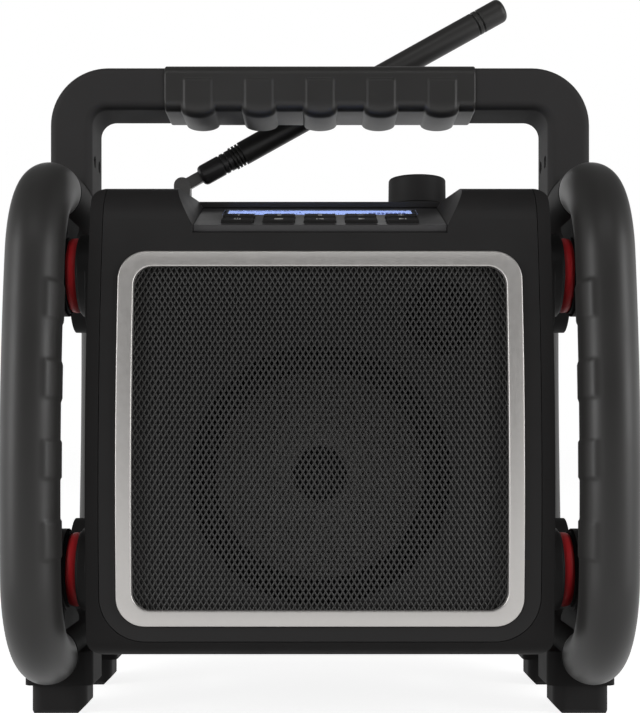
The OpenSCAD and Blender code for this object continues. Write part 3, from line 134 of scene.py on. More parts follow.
@dataclass(frozen=True)
class Finish:
    """What a surface is made of and how it was made.

    Attributes:
        name: Name of the material.
        colour: Main colour in sRGB hex.
        tone: Second colour that the surface drifts to.
        roughness: Roughness of the surface.
        specular: Strength of the surface's plain reflection.
    """

    name: str
    colour: str
    tone: str
    roughness: float
    specular: float = 0.5

    def material(self) -> bpy.types.Material:
        """Give the finish's material, made on the first call.

        Returns:
            The material.
        """
        known = bpy.data.materials.get(self.name)
        if known:
            return known
        material = bpy.data.materials.new(self.name)
        material.use_nodes = True
        tree = material.node_tree
        tree.nodes.clear()
        add_node(tree, "ShaderNodeOutputMaterial", {"Surface": self.shader(tree)})
        material.diffuse_color = linear(self.colour)
        return material

    def shader(self, tree: bpy.types.NodeTree) -> bpy.types.Node:
        """Build the finish's shader in a tree and return its last node."""
        raise NotImplementedError

    def drift(self, tree: bpy.types.NodeTree, mottle_mm: float) -> tuple[object, object]:
        """Let colour and roughness drift over the surface.

        Args:
            tree: The node tree.
            mottle_mm: Size of the patches.

        Returns:
            The sockets that give colour and roughness.
        """
        place = add_node(tree, "ShaderNodeTexCoord").outputs["Object"]
        patch = add_node(
            tree,
            "ShaderNodeTexNoise",
            {"Vector": place, "Scale": 1 / (mottle_mm * MM), "Detail": 4.0, "Roughness": 0.6},
        )
        shade = add_node(
            tree,
            "ShaderNodeMix",
            {"Factor": patch.outputs["Fac"], 6: linear(self.colour), 7: linear(self.tone)},
            data_type="RGBA",
        )
        rough = add_node(
            tree,
            "ShaderNodeMapRange",
            {
                "Value": patch.outputs["Fac"],
                "From Min": 0.3,
                "From Max": 0.7,
                "To Min": self.roughness - 0.04,
                "To Max": self.roughness + 0.04,
            },
        )
        return shade.outputs[2], rough.outputs["Result"]

    def grain(
        self, tree: bpy.types.NodeTree, grain_mm: float, depth_mm: float, edge_mm: float
    ) -> bpy.types.NodeSocket:
        """Give the surface a fine grain and a broken edge.

        Args:
            tree: The node tree.
            grain_mm: Size of one grain.
            depth_mm: Depth of the grain.
            edge_mm: Radius that moulded edges are rounded to.

        Returns:
            The socket that gives the normal.
        """
        place = add_node(tree, "ShaderNodeTexCoord").outputs["Object"]
        pits = add_node(
            tree,
            "ShaderNodeTexNoise",
            {"Vector": place, "Scale": 1 / (grain_mm * MM), "Detail": 2.0, "Roughness": 0.55},
        )
        edge = add_node(tree, "ShaderNodeBevel", {"Radius": edge_mm * MM}, samples=6)
        bump = add_node(
            tree,
            "ShaderNodeBump",
            {
                "Height": pits.outputs["Fac"],
                "Normal": edge.outputs["Normal"],
                "Strength": 1.0,
                "Distance": depth_mm * MM,
            },
        )
        return bump.outputs["Normal"]

    def skin(
        self,
        tree: bpy.types.NodeTree,
        mottle_mm: float,
        grain: tuple[float, float, float],
        traits: dict[str, float],
    ) -> bpy.types.Node:
        """Build the surface that most finishes share: drifting colour over a fine grain.

        Args:
            tree: The node tree.
            mottle_mm: Size of the patches of colour.
            grain: Size and depth of the grain, and radius of the edges, in millimetres.
            traits: What else sets this surface apart, by socket name.

        Returns:
            The shader node.
        """
        colour, rough = self.drift(tree, mottle_mm)
        normal = self.grain(tree, *grain)
        common = {"Base Color": colour, "Roughness": rough, "Normal": normal}
        return add_node(tree, "ShaderNodeBsdfPrincipled", {**common, **traits})


@dataclass(frozen=True)
class MouldedPlastic(Finish):
    """Injection-moulded thermoplastic from a spark-eroded tool: an even, fine, dull grain.

    The real grain is 0.2 to 0.4 mm and is drawn a little coarser, so that it shows.
    """

    grain_mm: float = 0.8
    depth_mm: float = 0.05
    edge_mm: float = 0.5

    def shader(self, tree: bpy.types.NodeTree) -> bpy.types.Node:
        """Build a dull dielectric with grain and softly broken edges."""
        grain = (self.grain_mm, self.depth_mm, self.edge_mm)
        return self.skin(tree, 24.0, grain, {"IOR": 1.53, "Specular IOR Level": self.specular})


@dataclass(frozen=True)
class MouldedRubber(Finish):
    """Overmoulded thermoplastic rubber: soft, with a faint bloom at glancing angles."""

    grain_mm: float = 0.6
    depth_mm: float = 0.02
    bloom: float = 0.1

    def shader(self, tree: bpy.types.NodeTree) -> bpy.types.Node:
        """Build a soft satin rubber with a little sheen.

        Args:
            tree: The node tree.

        Returns:
            The last node of the shader.
        """
        traits = {
            "IOR": 1.5,
            "Specular IOR Level": self.specular,
            "Sheen Weight": self.bloom,
            "Sheen Roughness": 0.5,
        }
        return self.skin(tree, 40.0, (self.grain_mm, self.depth_mm, 0.6), traits)


@dataclass(frozen=True)
class FlakePaint(Finish):
    """Silver paint on moulded plastic: fine aluminium flake under a thin satin clear coat.

    The flake is 0.03 mm and is drawn as 0.5 mm sparkle, so that it shows.
    """

    metallic: float = 0.75

    def shader(self, tree: bpy.types.NodeTree) -> bpy.types.Node:
        """Build a satin metallic paint whose flakes tilt a little each way."""
        traits = {"Metallic": self.metallic, "Coat Weight": 0.15, "Coat Roughness": 0.3}
        return self.skin(tree, 2.0, (0.5, 0.008, 0.25), traits)


@dataclass(frozen=True)
class PowderCoat(Finish):
    """Black powder coat baked on steel: hard, with a fine orange peel."""

    peel_mm: float = 1.4

    def shader(self, tree: bpy.types.NodeTree) -> bpy.types.Node:
        """Build a semi-gloss coat over its orange peel."""
        traits = {"IOR": 1.5, "Specular IOR Level": self.specular}
        return self.skin(tree, 12.0, (self.peel_mm, 0.03, 0.1), traits)


@dataclass(frozen=True)
class PressedPulp(Finish):
    """Paper pulp pressed into a loudspeaker cone: matte, with short fibres that catch light."""

    def shader(self, tree: bpy.types.NodeTree) -> bpy.types.Node:
        """Build a matte pulp with fibres in its colour and its surface."""
        traits = {"Specular IOR Level": self.specular, "Sheen Weight": 0.2}
        return self.skin(tree, 1.6, (0.9, 0.08, 0.1), traits)


@dataclass(frozen=True)
class MachinedMetal(Finish):
    """Turned or rolled metal, bright or plated, with fine tool marks round its axis."""

    mark_mm: float = 0.5

    def shader(self, tree: bpy.types.NodeTree) -> bpy.types.Node:
        """Build a metal with tool marks."""
        return self.skin(tree, 6.0, (self.mark_mm, 0.01, 0.2), {"Metallic": 1.0})


@dataclass(frozen=True)
class ClearPlastic(Finish):
    """Polished polycarbonate: a clear, slightly smoky window."""

    def shader(self, tree: bpy.types.NodeTree) -> bpy.types.Node:
        """Build a clear window that light passes straight through.

        Args:
            tree: The node tree.

        Returns:
            The last node of the shader.
        """
        colour, rough = self.drift(tree, 30.0)
        glass = add_node(
            tree,
            "ShaderNodeBsdfPrincipled",
            {
                "Base Color": colour,
                "Roughness": rough,
                "IOR": 1.585,
                "Transmission Weight": 1.0,
            },
        )
        clear = add_node(tree, "ShaderNodeBsdfTransparent", {"Color": linear(self.tone)})
        shadow = add_node(tree, "ShaderNodeLightPath").outputs["Is Shadow Ray"]
        return add_node(tree, "ShaderNodeMixShader", {0: shadow, 1: glass, 2: clear})


@dataclass(frozen=True)
class Backlight(Finish):
    """Backlit liquid crystal: an even glow with the faint grid of its cells.

    The real cells are 0.25 mm apart and are drawn 0.8 mm apart, so that they show.
    """

    glow: float = 1.0
    cell_mm: float = 0.8

    def shader(self, tree: bpy.types.NodeTree) -> bpy.types.Node:
        """Build a glowing surface crossed by a faint grid.

        Args:
            tree: The node tree.

        Returns:
            The last node of the shader.
        """
        place = add_node(tree, "ShaderNodeTexCoord").outputs["Object"]
        cells = add_node(
            tree,
            "ShaderNodeTexChecker",
            {
                "Vector": place,
                "Scale": 1 / (self.cell_mm * MM),
                "Color1": linear(self.colour),
                "Color2": linear(self.tone),
            },
        )
        return add_node(
            tree,
            "ShaderNodeBsdfPrincipled",
            {
                "Base Color": cells.outputs["Color"],
                "Roughness": self.roughness,
                "Emission Color": cells.outputs["Color"],
                "Emission Strength": self.glow,
            },
        )


@dataclass(frozen=True)
class SolderResist(Finish):
    """Circuit board: copper tracks under green solder resist."""

    def shader(self, tree: bpy.types.NodeTree) -> bpy.types.Node:
        """Build a glossy resist with a lighter track pattern.

        Args:
            tree: The node tree.

        Returns:
            The last node of the shader.
        """
        place = add_node(tree, "ShaderNodeTexCoord").outputs["Object"]
        tracks = add_node(
            tree,
            "ShaderNodeTexBrick",
            {
                "Vector": place,
                "Color1": linear(self.colour),
                "Color2": linear(self.colour),
                "Mortar": linear(self.tone),
                "Scale": 1 / (6.0 * MM),
                "Mortar Size": 0.06,
            },
        )
        return add_node(
            tree,
            "ShaderNodeBsdfPrincipled",
            {"Base Color": tracks.outputs["Color"], "Roughness": self.roughness},
        )


# Acrylonitrile butadiene styrene, moulded: near black, dull and very slightly warm
BLACK_ABS = MouldedPlastic("moulded_black_abs", "#282727", "#2e2d2d", 0.62, 0.1)
# The same plastic from a finer tool: smoother, so that the fascia takes a soft shine
FASCIA_ABS = MouldedPlastic(
    "moulded_satin_abs", "#252424", "#2b2a2a", 0.46, 0.22, grain_mm=0.6, depth_mm=0.02, edge_mm=0.4
)
# The same again, polished a little and made paler than the fascia as painted light: the panel
# round the keys, which catches the backdrop, and the antenna's boot, whose downward face lies in
# shade
PANEL_ABS_PAINTED_LIGHT = MouldedPlastic(
    "moulded_panel_abs_painted_light", "#3a393a", "#414041", 0.36, 0.42, grain_mm=0.5, depth_mm=0.01, edge_mm=0.3
)
# The same from a dull tool: the knob, flatter to the light than the deck round it, its colour
# darkened as painted shade
KNOB_ABS_PAINTED_SHADE = MouldedPlastic(
    "moulded_knob_abs_painted_shade", "#222121", "#282727", 0.6, 0.2, grain_mm=0.6, depth_mm=0.03, edge_mm=0.3
)
# Glass-filled nylon, moulded: the handle's stiff core, dull and a little lighter
HANDLE_NYLON = MouldedPlastic(
    "moulded_filled_nylon",
    "#3a3939",
    "#414040",
    0.62,
    0.1,
    grain_mm=0.9,
    depth_mm=0.03,
    edge_mm=1.0,
)
# Thermoplastic rubber over the cage and the grip: smooth, satin, soft to the light
SLEEVE_RUBBER = MouldedRubber("moulded_sleeve_rubber", "#2b2a29", "#323130", 0.42, 0.4)
# Harder rubber of the feet: matte, with next to no bloom
FOOT_RUBBER = MouldedRubber("moulded_foot_rubber", "#2a2929", "#313030", 0.66, 0.15, bloom=0.05)
# Soft rubber of the seal, the surround and the flap: the darkest, with a dull sheen
SEAL_RUBBER = MouldedRubber("moulded_seal_rubber", "#1c1b1b", "#232222", 0.6, 0.3)
# Natural rubber buffers, dyed right through: a matte, full red
BUFFER_RUBBER = MouldedRubber("moulded_red_rubber", "#d81a22", "#e0262e", 0.5, 0.35, bloom=0.15)
# Silver flake paint of the trim frame: pale, with a satin gleam along its edges
TRIM_PAINT = FlakePaint("silver_flake_paint", "#c6c3c0", "#d0cdca", 0.4)
# Powder coat on the pierced steel, the baskets and the magnets: black, its edges catch light
GRILLE_COAT = PowderCoat("black_powder_coat", "#282726", "#302f2e", 0.42, 0.36)
# Pressed pulp of the cones: grey and matte, paler than all that lies round it
CONE_PULP = PressedPulp("pressed_cone_pulp", "#94918e", "#a19e9b", 0.55, 0.4)
# Doped cloth of the dust caps and the dome: darker than the pulp round them
CAP_CLOTH = PressedPulp("doped_cap_cloth", "#222121", "#2a2929", 0.5, 0.3)
# Polycarbonate of the display window: clear, with a sharp and slightly blue reflection
WINDOW = ClearPlastic("polished_polycarbonate", "#e9edf4", "#e4e8f2", 0.03)
# Backlit display: an even, pale blue glow
DISPLAY_GLOW = Backlight("backlit_display", "#a9bff2", "#bccdf6", 0.4, glow=0.9)
# Its figures: the cells that are shut, which stand out dark blue
DISPLAY_INK = Backlight("display_figures", "#2c3f9e", "#32469f", 0.4, glow=0.3)
# Glass-fibre board under green resist: glossy, with lighter tracks
BOARD = SolderResist("green_solder_resist", "#1c4a2b", "#2f6b3f", 0.35)
# Nickel-plated steel of the antenna's joint: bright but smoky
NICKEL = MachinedMetal("nickel_plated_steel", "#6d6c6b", "#7c7b7a", 0.3)
# Black-painted steel tube inside the cages: smooth and a little glossy
TUBE_PAINT = PowderCoat("black_tube_paint", "#242424", "#2b2b2b", 0.35, 0.4)
# Zinc-plated fasteners and shafts: a cool, dull silver
ZINC = MachinedMetal("zinc_plated_steel", "#8f9092", "#a3a4a6", 0.38)
# Plated brass of the contact springs: warm yellow
BRASS = MachinedMetal("plated_brass", "#b39a58", "#c2aa68", 0.3)
# Unfilled nylon of the encoder's rotor: milky white and waxy
NYLON = MouldedPlastic("moulded_white_nylon", "#d4cfc4", "#dcd8cf", 0.45, 0.5)
# White ink that a soft pad lays on the keys: flat and chalky
PAD_INK = MouldedPlastic(
    "pad_printed_ink", "#d9d9d6", "#e4e4e1", 0.55, 0.4, grain_mm=0.5, depth_mm=0.01, edge_mm=0.05
)

# Solids whose finish isn't the common one of their slot
NODE_FINISH: dict[str, Finish] = {
    # Painted light: the panel takes a paler copy of the black plastic, standing in for the
    # backdrop it catches
    "control_panel": PANEL_ABS_PAINTED_LIGHT,
    "dust_cap": CAP_CLOTH,
    "tweeter_dome": CAP_CLOTH,
    "rubber_feet": FOOT_RUBBER,
}

SLOT_FINISH: dict[str, Finish] = {
    "black_abs": BLACK_ABS,
    "fascia_abs": FASCIA_ABS,
    "handle_plastic": HANDLE_NYLON,
    "bumper_rubber": SLEEVE_RUBBER,
    "seal_rubber": SEAL_RUBBER,
    "red_rubber": BUFFER_RUBBER,
    "silver_trim": TRIM_PAINT,
    "grille_steel": GRILLE_COAT,
    "speaker_paper": CONE_PULP,
    "lens": WINDOW,
    "lcd": DISPLAY_GLOW,
    "circuit_board": BOARD,
    "plated_steel": NICKEL,
    "cage_steel": TUBE_PAINT,
    "zinc_steel": ZINC,
    "brass": BRASS,
    "white_nylon": NYLON,
}


# ------------------------------------------------------------------ mesh tools


@dataclass
class Piece:
    """A new mesh of the object: where it rides, what it stands for and how it is finished.

    Attributes:
        name: Name of the piece.
        slot: The record's material slot.
        body: The body that it moves with.
        replaces: The solids that it is shown in place of.
        finish: Its finish, where that isn't the slot's own.
        crease: Angle in degrees above which an edge stays sharp.
    """

    name: str
    slot: str
    body: str = "radio"
    replaces: tuple[str, ...] = ()
    finish: Finish | None = None
    crease: float = 40.0

    def build(self, vertices: np.ndarray, faces: Sequence[Sequence[int]]) -> bpy.types.Object:
        """Make the mesh, shade it, dress it and let it ride on its body.

        Args:
            vertices: Points in metres, one row each.
            faces: Indices of each face's corners.

        Returns:
            The new object.
        """
        mesh = bpy.data.meshes.new(self.name)
        mesh.from_pydata(np.asarray(vertices, float).tolist(), [], [list(f) for f in faces])
        work = bmesh.new()
        work.from_mesh(mesh)
        bmesh.ops.recalc_face_normals(work, faces=work.faces)
        work.to_mesh(mesh)
        work.free()
        mesh.polygons.foreach_set("use_smooth", [True] * len(mesh.polygons))
        mesh.set_sharp_from_angle(angle=math.radians(self.crease))
        thing = bpy.data.objects.new(self.name, mesh)
        bpy.context.scene.collection.objects.link(thing)
        finish = self.finish or SLOT_FINISH[self.slot]
        mesh.materials.append(finish.material())
        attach(thing, self.body)
        if self.replaces:
            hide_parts(*self.replaces)
        LOG.info("%s: %d faces, rides on %s", self.name, len(mesh.polygons), self.body)
        return thing


def loop_faces(rows: int, columns: int, close_rows: bool = True) -> list[tuple[int, ...]]:
    """Join a grid of points into quads; each row is a closed loop.

    Args:
        rows: Number of loops.
        columns: Points in each loop.
        close_rows: Whether the last loop joins the first.

    Returns:
        The quads.
    """
    last = rows if close_rows else rows - 1
    return [
        (
            i * columns + j,
            i * columns + (j + 1) % columns,
            (i + 1) % rows * columns + (j + 1) % columns,
            (i + 1) % rows * columns + j,
        )
        for i in range(last)
        for j in range(columns)
    ]


def rounded_outline(
    half_w: float, half_h: float, radius: float, arc_points: int, side_points: int
) -> np.ndarray:
    """Points round a rounded rectangle, anticlockwise from the right side.

    Args:
        half_w: Half its width.
        half_h: Half its height.
        radius: Corner radius.
        arc_points: Points on each corner.
        side_points: Points added along each upright side.

    Returns:
        One row of two coordinates for each point.
    """
    points: list[tuple[float, float]] = []
    corners = ((1, 1, 0), (-1, 1, 90), (-1, -1, 180), (1, -1, 270))
    for number, (sx, sy, start) in enumerate(corners):
        for k in range(arc_points):
            angle = math.radians(start + 90 * k / (arc_points - 1))
            points.append(
                (
                    sx * (half_w - radius) + radius * math.cos(angle),
                    sy * (half_h - radius) + radius * math.sin(angle),
                )
            )
        if number in (1, 3):
            end = (half_h - radius) * sy
            for k in range(1, side_points + 1):
                points.append((sx * half_w, end * (1 - 2 * k / (side_points + 1))))
    return np.array(points)


def revolve(
    profile: Sequence[tuple[float, float]], turns: int
) -> tuple[np.ndarray, list[tuple[int, ...]]]:
    """Turn a closed profile about the Z axis.

    Args:
        profile: Radius and height of each point, all off the axis.
        turns: Steps round the axis.

    Returns:
        Points and faces.
    """
    angles = np.linspace(0, 2 * math.pi, turns, endpoint=False)
    rings = np.array(profile, float)
    points = np.stack(
        [
            np.outer(np.cos(angles), rings[:, 0]),
            np.outer(np.sin(angles), rings[:, 0]),
            np.tile(rings[:, 1], (turns, 1)),
        ],
        axis=-1,
    )
    return points.reshape(-1, 3), loop_faces(turns, len(rings))


def moved(points: np.ndarray, matrix: Matrix) -> np.ndarray:
    """Return points moved by a matrix."""
    m = np.array(matrix)
    return points @ m[:3, :3].T + m[:3, 3]


def smooth_step(value: np.ndarray | float, low: float, high: float) -> np.ndarray:
    """Return 0 below low, 1 above high and an even ramp between."""
    share = np.clip((np.asarray(value, float) - low) / (high - low), 0, 1)
    return share * share * (3 - 2 * share)


# ------------------------------------------------------------------ cage


@dataclass
class CageBar:
    """Rubber sleeve of one upright cage bar: a bend, a long bowed run and another bend.

    Attributes:
        name: Name of the piece and of the solid that it is shown for.
        facing: -1 for a front bar and +1 for a rear bar.
        bow_radius: Radius of the long bowed run.
        bow_height: Height of its outermost line.
        pad_rise: How far the finger pads stand out towards the cabinet.
        end_round: Radius of the sleeve's cut ends.
        around: Points round the sleeve.
    """

    name: str
    facing: int
    bow_radius: float
    bow_height: float
    tube_radius: float = 13.1 * MM
    bore_radius: float = 9.7 * MM
    bend_radius: float = 43 * MM
    pad_length: float = 16.5 * MM
    pad_pitch: float = 34.6 * MM
    pad_rise: float = 0.6 * MM
    pad_count: int = 4
    end_round: float = 0.8 * MM
    around: int = 72

    def stations(self, low: Vector, high: Vector) -> np.ndarray:
        """Walk the centre line from the top end to the bottom end.

        Args:
            low: Lowest corner of the solid's box.
            high: Highest corner of it.

        Returns:
            Y, Z and outward angle of each station.
        """
        r, bend = self.tube_radius, self.bend_radius
        line = (high.y - r) if self.facing > 0 else (low.y + r)
        centre_y = line - self.facing * self.bow_radius
        inner = self.bow_radius - bend
        top, bottom = high.z - r - bend, low.z + r + bend
        rows: list[tuple[float, float, float]] = []

        def arc(cy: float, cz: float, radius: float, a0: float, a1: float, steps: int) -> None:
            """Add the stations of one arc.

            Args:
                cy: Y of its centre.
                cz: Z of its centre.
                radius: Its radius.
                a0: Angle at which it starts.
                a1: Angle at which it ends.
                steps: Number of stations.
            """
            for angle in np.linspace(a0, a1, steps):
                y = cy + self.facing * radius * math.cos(angle)
                rows.append((y, cz + radius * math.sin(angle), angle))

        a_top = math.asin((top - self.bow_height) / inner)
        a_low = math.asin((bottom - self.bow_height) / inner)
        y_top = centre_y + self.facing * inner * math.cos(a_top)
        y_low = centre_y + self.facing * inner * math.cos(a_low)
        arc(y_top, top, bend, math.pi / 2, a_top, 34)
        arc(centre_y, self.bow_height, self.bow_radius, a_top, a_low, 150)
        arc(y_low, bottom, bend, a_low, -math.pi / 2, 34)
        return np.array(rows)

    def rings(self, low: Vector, high: Vector) -> np.ndarray:
        """Lay a ring of points round every station, outside and then inside.

        Args:
            low: Lowest corner of the solid's box.
            high: Highest corner of it.

        Returns:
            All the points, ring by ring.
        """
        side = 1 if high.x > 0 else -1
        centre_x = side * (max(abs(high.x), abs(low.x)) - self.tube_radius)
        path = self.stations(low, high)
        steps = np.hypot(np.diff(path[:, 0]), np.diff(path[:, 1]))
        run = np.concatenate([[0], np.cumsum(steps)])
        middle = (high.z + low.z) / 2
        theta = np.linspace(0, 2 * math.pi, self.around, endpoint=False)
        inward = -side * np.sin(theta)
        rings = []

        def ring(index: int, radius: np.ndarray) -> None:
            """Add one ring about a station.

            Args:
                index: Number of the station.
                radius: Radius of each of the ring's points.
            """
            y, z, angle = path[index]
            out = radius * np.cos(theta)
            across = centre_x + radius * np.sin(theta)
            deep, up = y + self.facing * math.cos(angle) * out, z + math.sin(angle) * out
            rings.append(np.stack([across, deep, up], axis=-1))

        for index, along in enumerate(run):
            end = min(along, run[-1] - along)
            shrink = self.end_round * (1 - math.sqrt(1 - (1 - min(end / self.end_round, 1)) ** 2))
            rise = 0.0
            for pad in range(self.pad_count):
                z = middle + (pad - (self.pad_count - 1) / 2) * self.pad_pitch
                gap = abs(path[index, 1] - z) - self.pad_length / 2
                rise = max(rise, 1 - float(smooth_step(gap, -0.5 * MM, 0.5 * MM)))
            bulge = rise * self.pad_rise * smooth_step(inward, 0.5, 0.66)
            ring(index, self.tube_radius - shrink + bulge)
        for index in reversed(range(len(path))):
            ring(index, np.full(self.around, self.bore_radius))
        return np.concatenate(rings)

    def build(self) -> None:
        """Make the sleeve in place of its solid."""
        low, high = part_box(self.name)
        points = self.rings(low, high)
        faces = loop_faces(len(points) // self.around, self.around)
        Piece(f"sleeve_{self.name}", "bumper_rubber", replaces=(self.name,)).build(points, faces)


# ------------------------------------------------------------------ front


@dataclass
class BowedFront:
    """The bowed plane that the fascia, the trim and the grille share.

    Attributes:
        line_y: Where its foremost line lies.
        radius: Radius of the bow.
        height: Height of that line.
    """

    line_y: float
    radius: float = 600 * MM
    height: float = 106 * MM

    def y_at(self, z: np.ndarray, rise: np.ndarray | float = 0.0) -> np.ndarray:
        """Return how far back the bow lies at a height, raised by rise along its radius."""
        reach = self.radius + rise
        return self.line_y + self.radius - np.sqrt(reach**2 - (z - self.height) ** 2)


@dataclass
class TrimFrame:
    """Silver frame round the grille: a flat band with softly rounded edges.

    Attributes:
        front: The bow that it follows.
        band: Width of the band.
        proud: How far it stands out of the bow.
        depth: How far it reaches into the fascia.
        edge: Radius of its edges.
    """

    front: BowedFront
    band: float = 7.1 * MM
    outer_round: float = 12.7 * MM
    inner_round: float = 8.3 * MM
    proud: float = 1.5 * MM
    depth: float = 2.0 * MM
    edge: float = 0.7 * MM

    def profile(self) -> list[tuple[float, float]]:
        """Draw the band's section.

        Returns:
            How far in from the outer edge each point lies, and how high over the bow.
        """
        turn = [math.radians(a) for a in (0, 22, 45, 68, 90)]
        outer = [
            (self.edge * (1 - math.cos(a)), self.proud - self.edge * (1 - math.sin(a)))
            for a in turn
        ]
        inner = [(self.band - u, h) for u, h in reversed(outer)]
        return [(0, -self.depth), *outer, *inner, (self.band, -self.depth)]

    def build(self) -> None:
        """Make the frame in place of its solid."""
        low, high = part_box("trim_frame")
        half_w, half_h = high.x, (high.z - low.z) / 2
        middle = (high.z + low.z) / 2
        loops = []
        for inset, rise in self.profile():
            share = inset / self.band
            radius = self.outer_round + (self.inner_round - self.outer_round) * share
            line = rounded_outline(half_w - inset, half_h - inset, radius, 17, 60)
            z = middle + line[:, 1]
            loops.append(np.stack([line[:, 0], self.front.y_at(z, rise), z], axis=-1))
        points = np.concatenate(loops)
        faces = loop_faces(len(loops), len(loops[0]))
        Piece("trim_band", "silver_trim", replaces=("trim_frame",), crease=50).build(points, faces)


@dataclass
class DiamondGrille:
    """Steel grille pierced with diamond holes in staggered rows, bowed with the front.

    Attributes:
        pitch: Distance between holes in a row.
        row: Distance between rows.
        web: Share of each cell that its hole leaves.
        seat: Where its face lies against the bow.
        crown: How far the webs' middle lines rise over the holes' edges.
        hidden_rim: Width of the frame that covers its edge.
    """

    front: BowedFront
    pitch: float = 2.5 * MM
    row: float = 2.19 * MM
    web: float = 0.34
    seat: float = -2.0 * MM
    thickness: float = 0.9 * MM
    crown: float = 0.22 * MM
    hidden_rim: float = 4.6 * MM

    def cells(self, low: Vector, high: Vector) -> list[tuple[int, int]]:
        """List the cells within the frame's pocket.

        Args:
            low: Lowest corner of the frame's box.
            high: Highest corner of it.

        Returns:
            Each cell's number of half pitches and of rows from the middle.
        """
        columns = int((high.x - self.hidden_rim) / (self.pitch / 2))
        rows = int(((high.z - low.z) / 2 - self.hidden_rim) / self.row)
        return [
            (i, j)
            for j in range(-rows, rows + 1)
            for i in range(-columns, columns + 1)
            if (i + j) % 2 == 0
        ]

    def build(self) -> None:
        """Make the grille in place of its solid."""
        low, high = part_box("trim_frame")
        middle = (high.z + low.z) / 2
        index: dict[tuple, int] = {}
        points: list[tuple[float, float, float]] = []
        faces: list[tuple[int, ...]] = []
        edges: dict[frozenset, tuple] = {}

        def point(i: float, j: float, rise: float) -> int:
            """Find a point of the lattice, or add it.

            Args:
                i: Half pitches from the middle.
                j: Rows from the middle.
                rise: Height over the bow.

            Returns:
                The point's index.
            """
            key = (round(i, 3), round(j, 3), round(rise, 7))
            if key not in index:
                index[key] = len(points)
                points.append((i * self.pitch / 2, rise, middle + j * self.row))
            return index[key]

        hole, back = 1 - self.web, self.seat - self.thickness
        ring = ((1, 0), (0, 1), (-1, 0), (0, -1))
        for i, j in self.cells(low, high):
            rim = [point(i + a, j + b, self.seat + self.crown) for a, b in ring]
            lip = [point(i + a * hole, j + b * hole, self.seat) for a, b in ring]
            floor = [point(i + a * hole, j + b * hole, back) for a, b in ring]
            base = [point(i + a, j + b, back) for a, b in ring]
            for k in range(4):
                n = (k + 1) % 4
                faces.append((rim[k], rim[n], lip[n], lip[k]))
                faces.append((lip[k], lip[n], floor[n], floor[k]))
                faces.append((floor[k], floor[n], base[n], base[k]))
                side = frozenset((rim[k], rim[n]))
                if side in edges:
                    del edges[side]
                else:
                    edges[side] = (rim[n], rim[k], base[k], base[n])
        faces.extend(edges.values())
        flat = np.array(points)
        flat[:, 1] = self.front.y_at(flat[:, 2], flat[:, 1])
        piece = Piece("grille_lattice", "grille_steel", replaces=("speaker_grille",), crease=20)
        piece.build(flat, faces)


# ------------------------------------------------------------------ handle grip


@dataclass
class Grip:
    """Rubber grip round the handle bar, with arched ridges between the fingers.

    Attributes:
        bar_height: Height of the bar inside.
        bar_depth: Depth of the bar inside.
        bar_round: Radius of the bar's edges.
        fit: Room between the bar and the rubber.
        skin: Thickness of the rubber between the ridges.
        ridge_drop: How far a ridge hangs below the bar.
        ridge_swell: How far its faces swell to the front and the back.
        ridge_top: How far below the bar's top the swell begins.
        ridge_root: How far above the bar's underside the arch begins.
        tuck: How far the ends are drawn in.
        tuck_run: Length over which they are.
        stations: Sections along the grip.
    """

    bar_height: float = 21 * MM
    bar_depth: float = 34 * MM
    bar_round: float = 4 * MM
    fit: float = 0.02 * MM
    skin: float = 0.9 * MM
    ridge_count: int = 5
    ridge_width: float = 15 * MM
    ridge_pitch: float = 30.5 * MM
    ridge_drop: float = 3.2 * MM
    ridge_swell: float = 0.6 * MM
    ridge_top: float = 7 * MM
    ridge_root: float = 6 * MM
    tuck: float = 0.5 * MM
    tuck_run: float = 0.6 * MM
    stations: int = 420

    def ridge(self, x: np.ndarray) -> tuple[np.ndarray, np.ndarray]:
        """Say how much of a ridge stands at each place along the grip.

        Args:
            x: Places along the grip.

        Returns:
            The arch under the bar from 0 to 1, and the swell of its faces from 0 to 1.
        """
        nearest = (np.arange(self.ridge_count) - (self.ridge_count - 1) / 2) * self.ridge_pitch
        gap = np.abs(x[:, None] - nearest[None, :]).min(axis=1)
        half = self.ridge_width / 2
        share = np.clip(gap / (half + 1 * MM), 0, 1)
        return np.sqrt(1 - share**2), 1 - smooth_step(gap, half - 1.6 * MM, half + 0.3 * MM)

    def build(self) -> None:
        """Make the grip in place of its solid."""
        low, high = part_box("grip_sleeve")
        centre_z = high.z - self.skin - self.bar_height / 2
        x = np.linspace(low.x, high.x, self.stations)
        arch, swell = self.ridge(x)
        half_h, half_d, skin = self.bar_height / 2, self.bar_depth / 2, self.skin
        outer = rounded_outline(half_d + skin, half_h + skin, self.bar_round + skin, 8, 24)
        inner = rounded_outline(half_d + self.fit, half_h + self.fit, self.bar_round, 8, 24)
        swell_top = half_h - self.ridge_top
        loops = []
        for station, place in enumerate(x):
            end = min(place - low.x, high.x - place)
            tuck = self.tuck * (1 - float(smooth_step(end, 0, self.tuck_run)))
            depth, height = outer[:, 0].copy(), outer[:, 1].copy()
            below = 1 - smooth_step(height, swell_top, swell_top + 1 * MM)
            face = np.sign(depth) * smooth_step(np.abs(depth), half_d - 3 * MM, half_d)
            depth += face * below * swell[station] * self.ridge_swell
            low_side = smooth_step(-height, half_h - self.ridge_root, half_h)
            height -= low_side * arch[station] * self.ridge_drop
            depth -= np.sign(depth) * tuck
            height -= np.sign(height) * tuck
            loops.append(np.stack([np.full(len(depth), place), depth, centre_z + height], axis=-1))
        for place in reversed(x):
            line = [np.full(len(inner), place), inner[:, 0], centre_z + inner[:, 1]]
            loops.append(np.stack(line, axis=-1))
        points = np.concatenate(loops)
        faces = loop_faces(len(loops), len(outer))
        Piece("grip_moulding", "bumper_rubber", replaces=("grip_sleeve",)).build(points, faces)


# ------------------------------------------------------------------ small fasteners


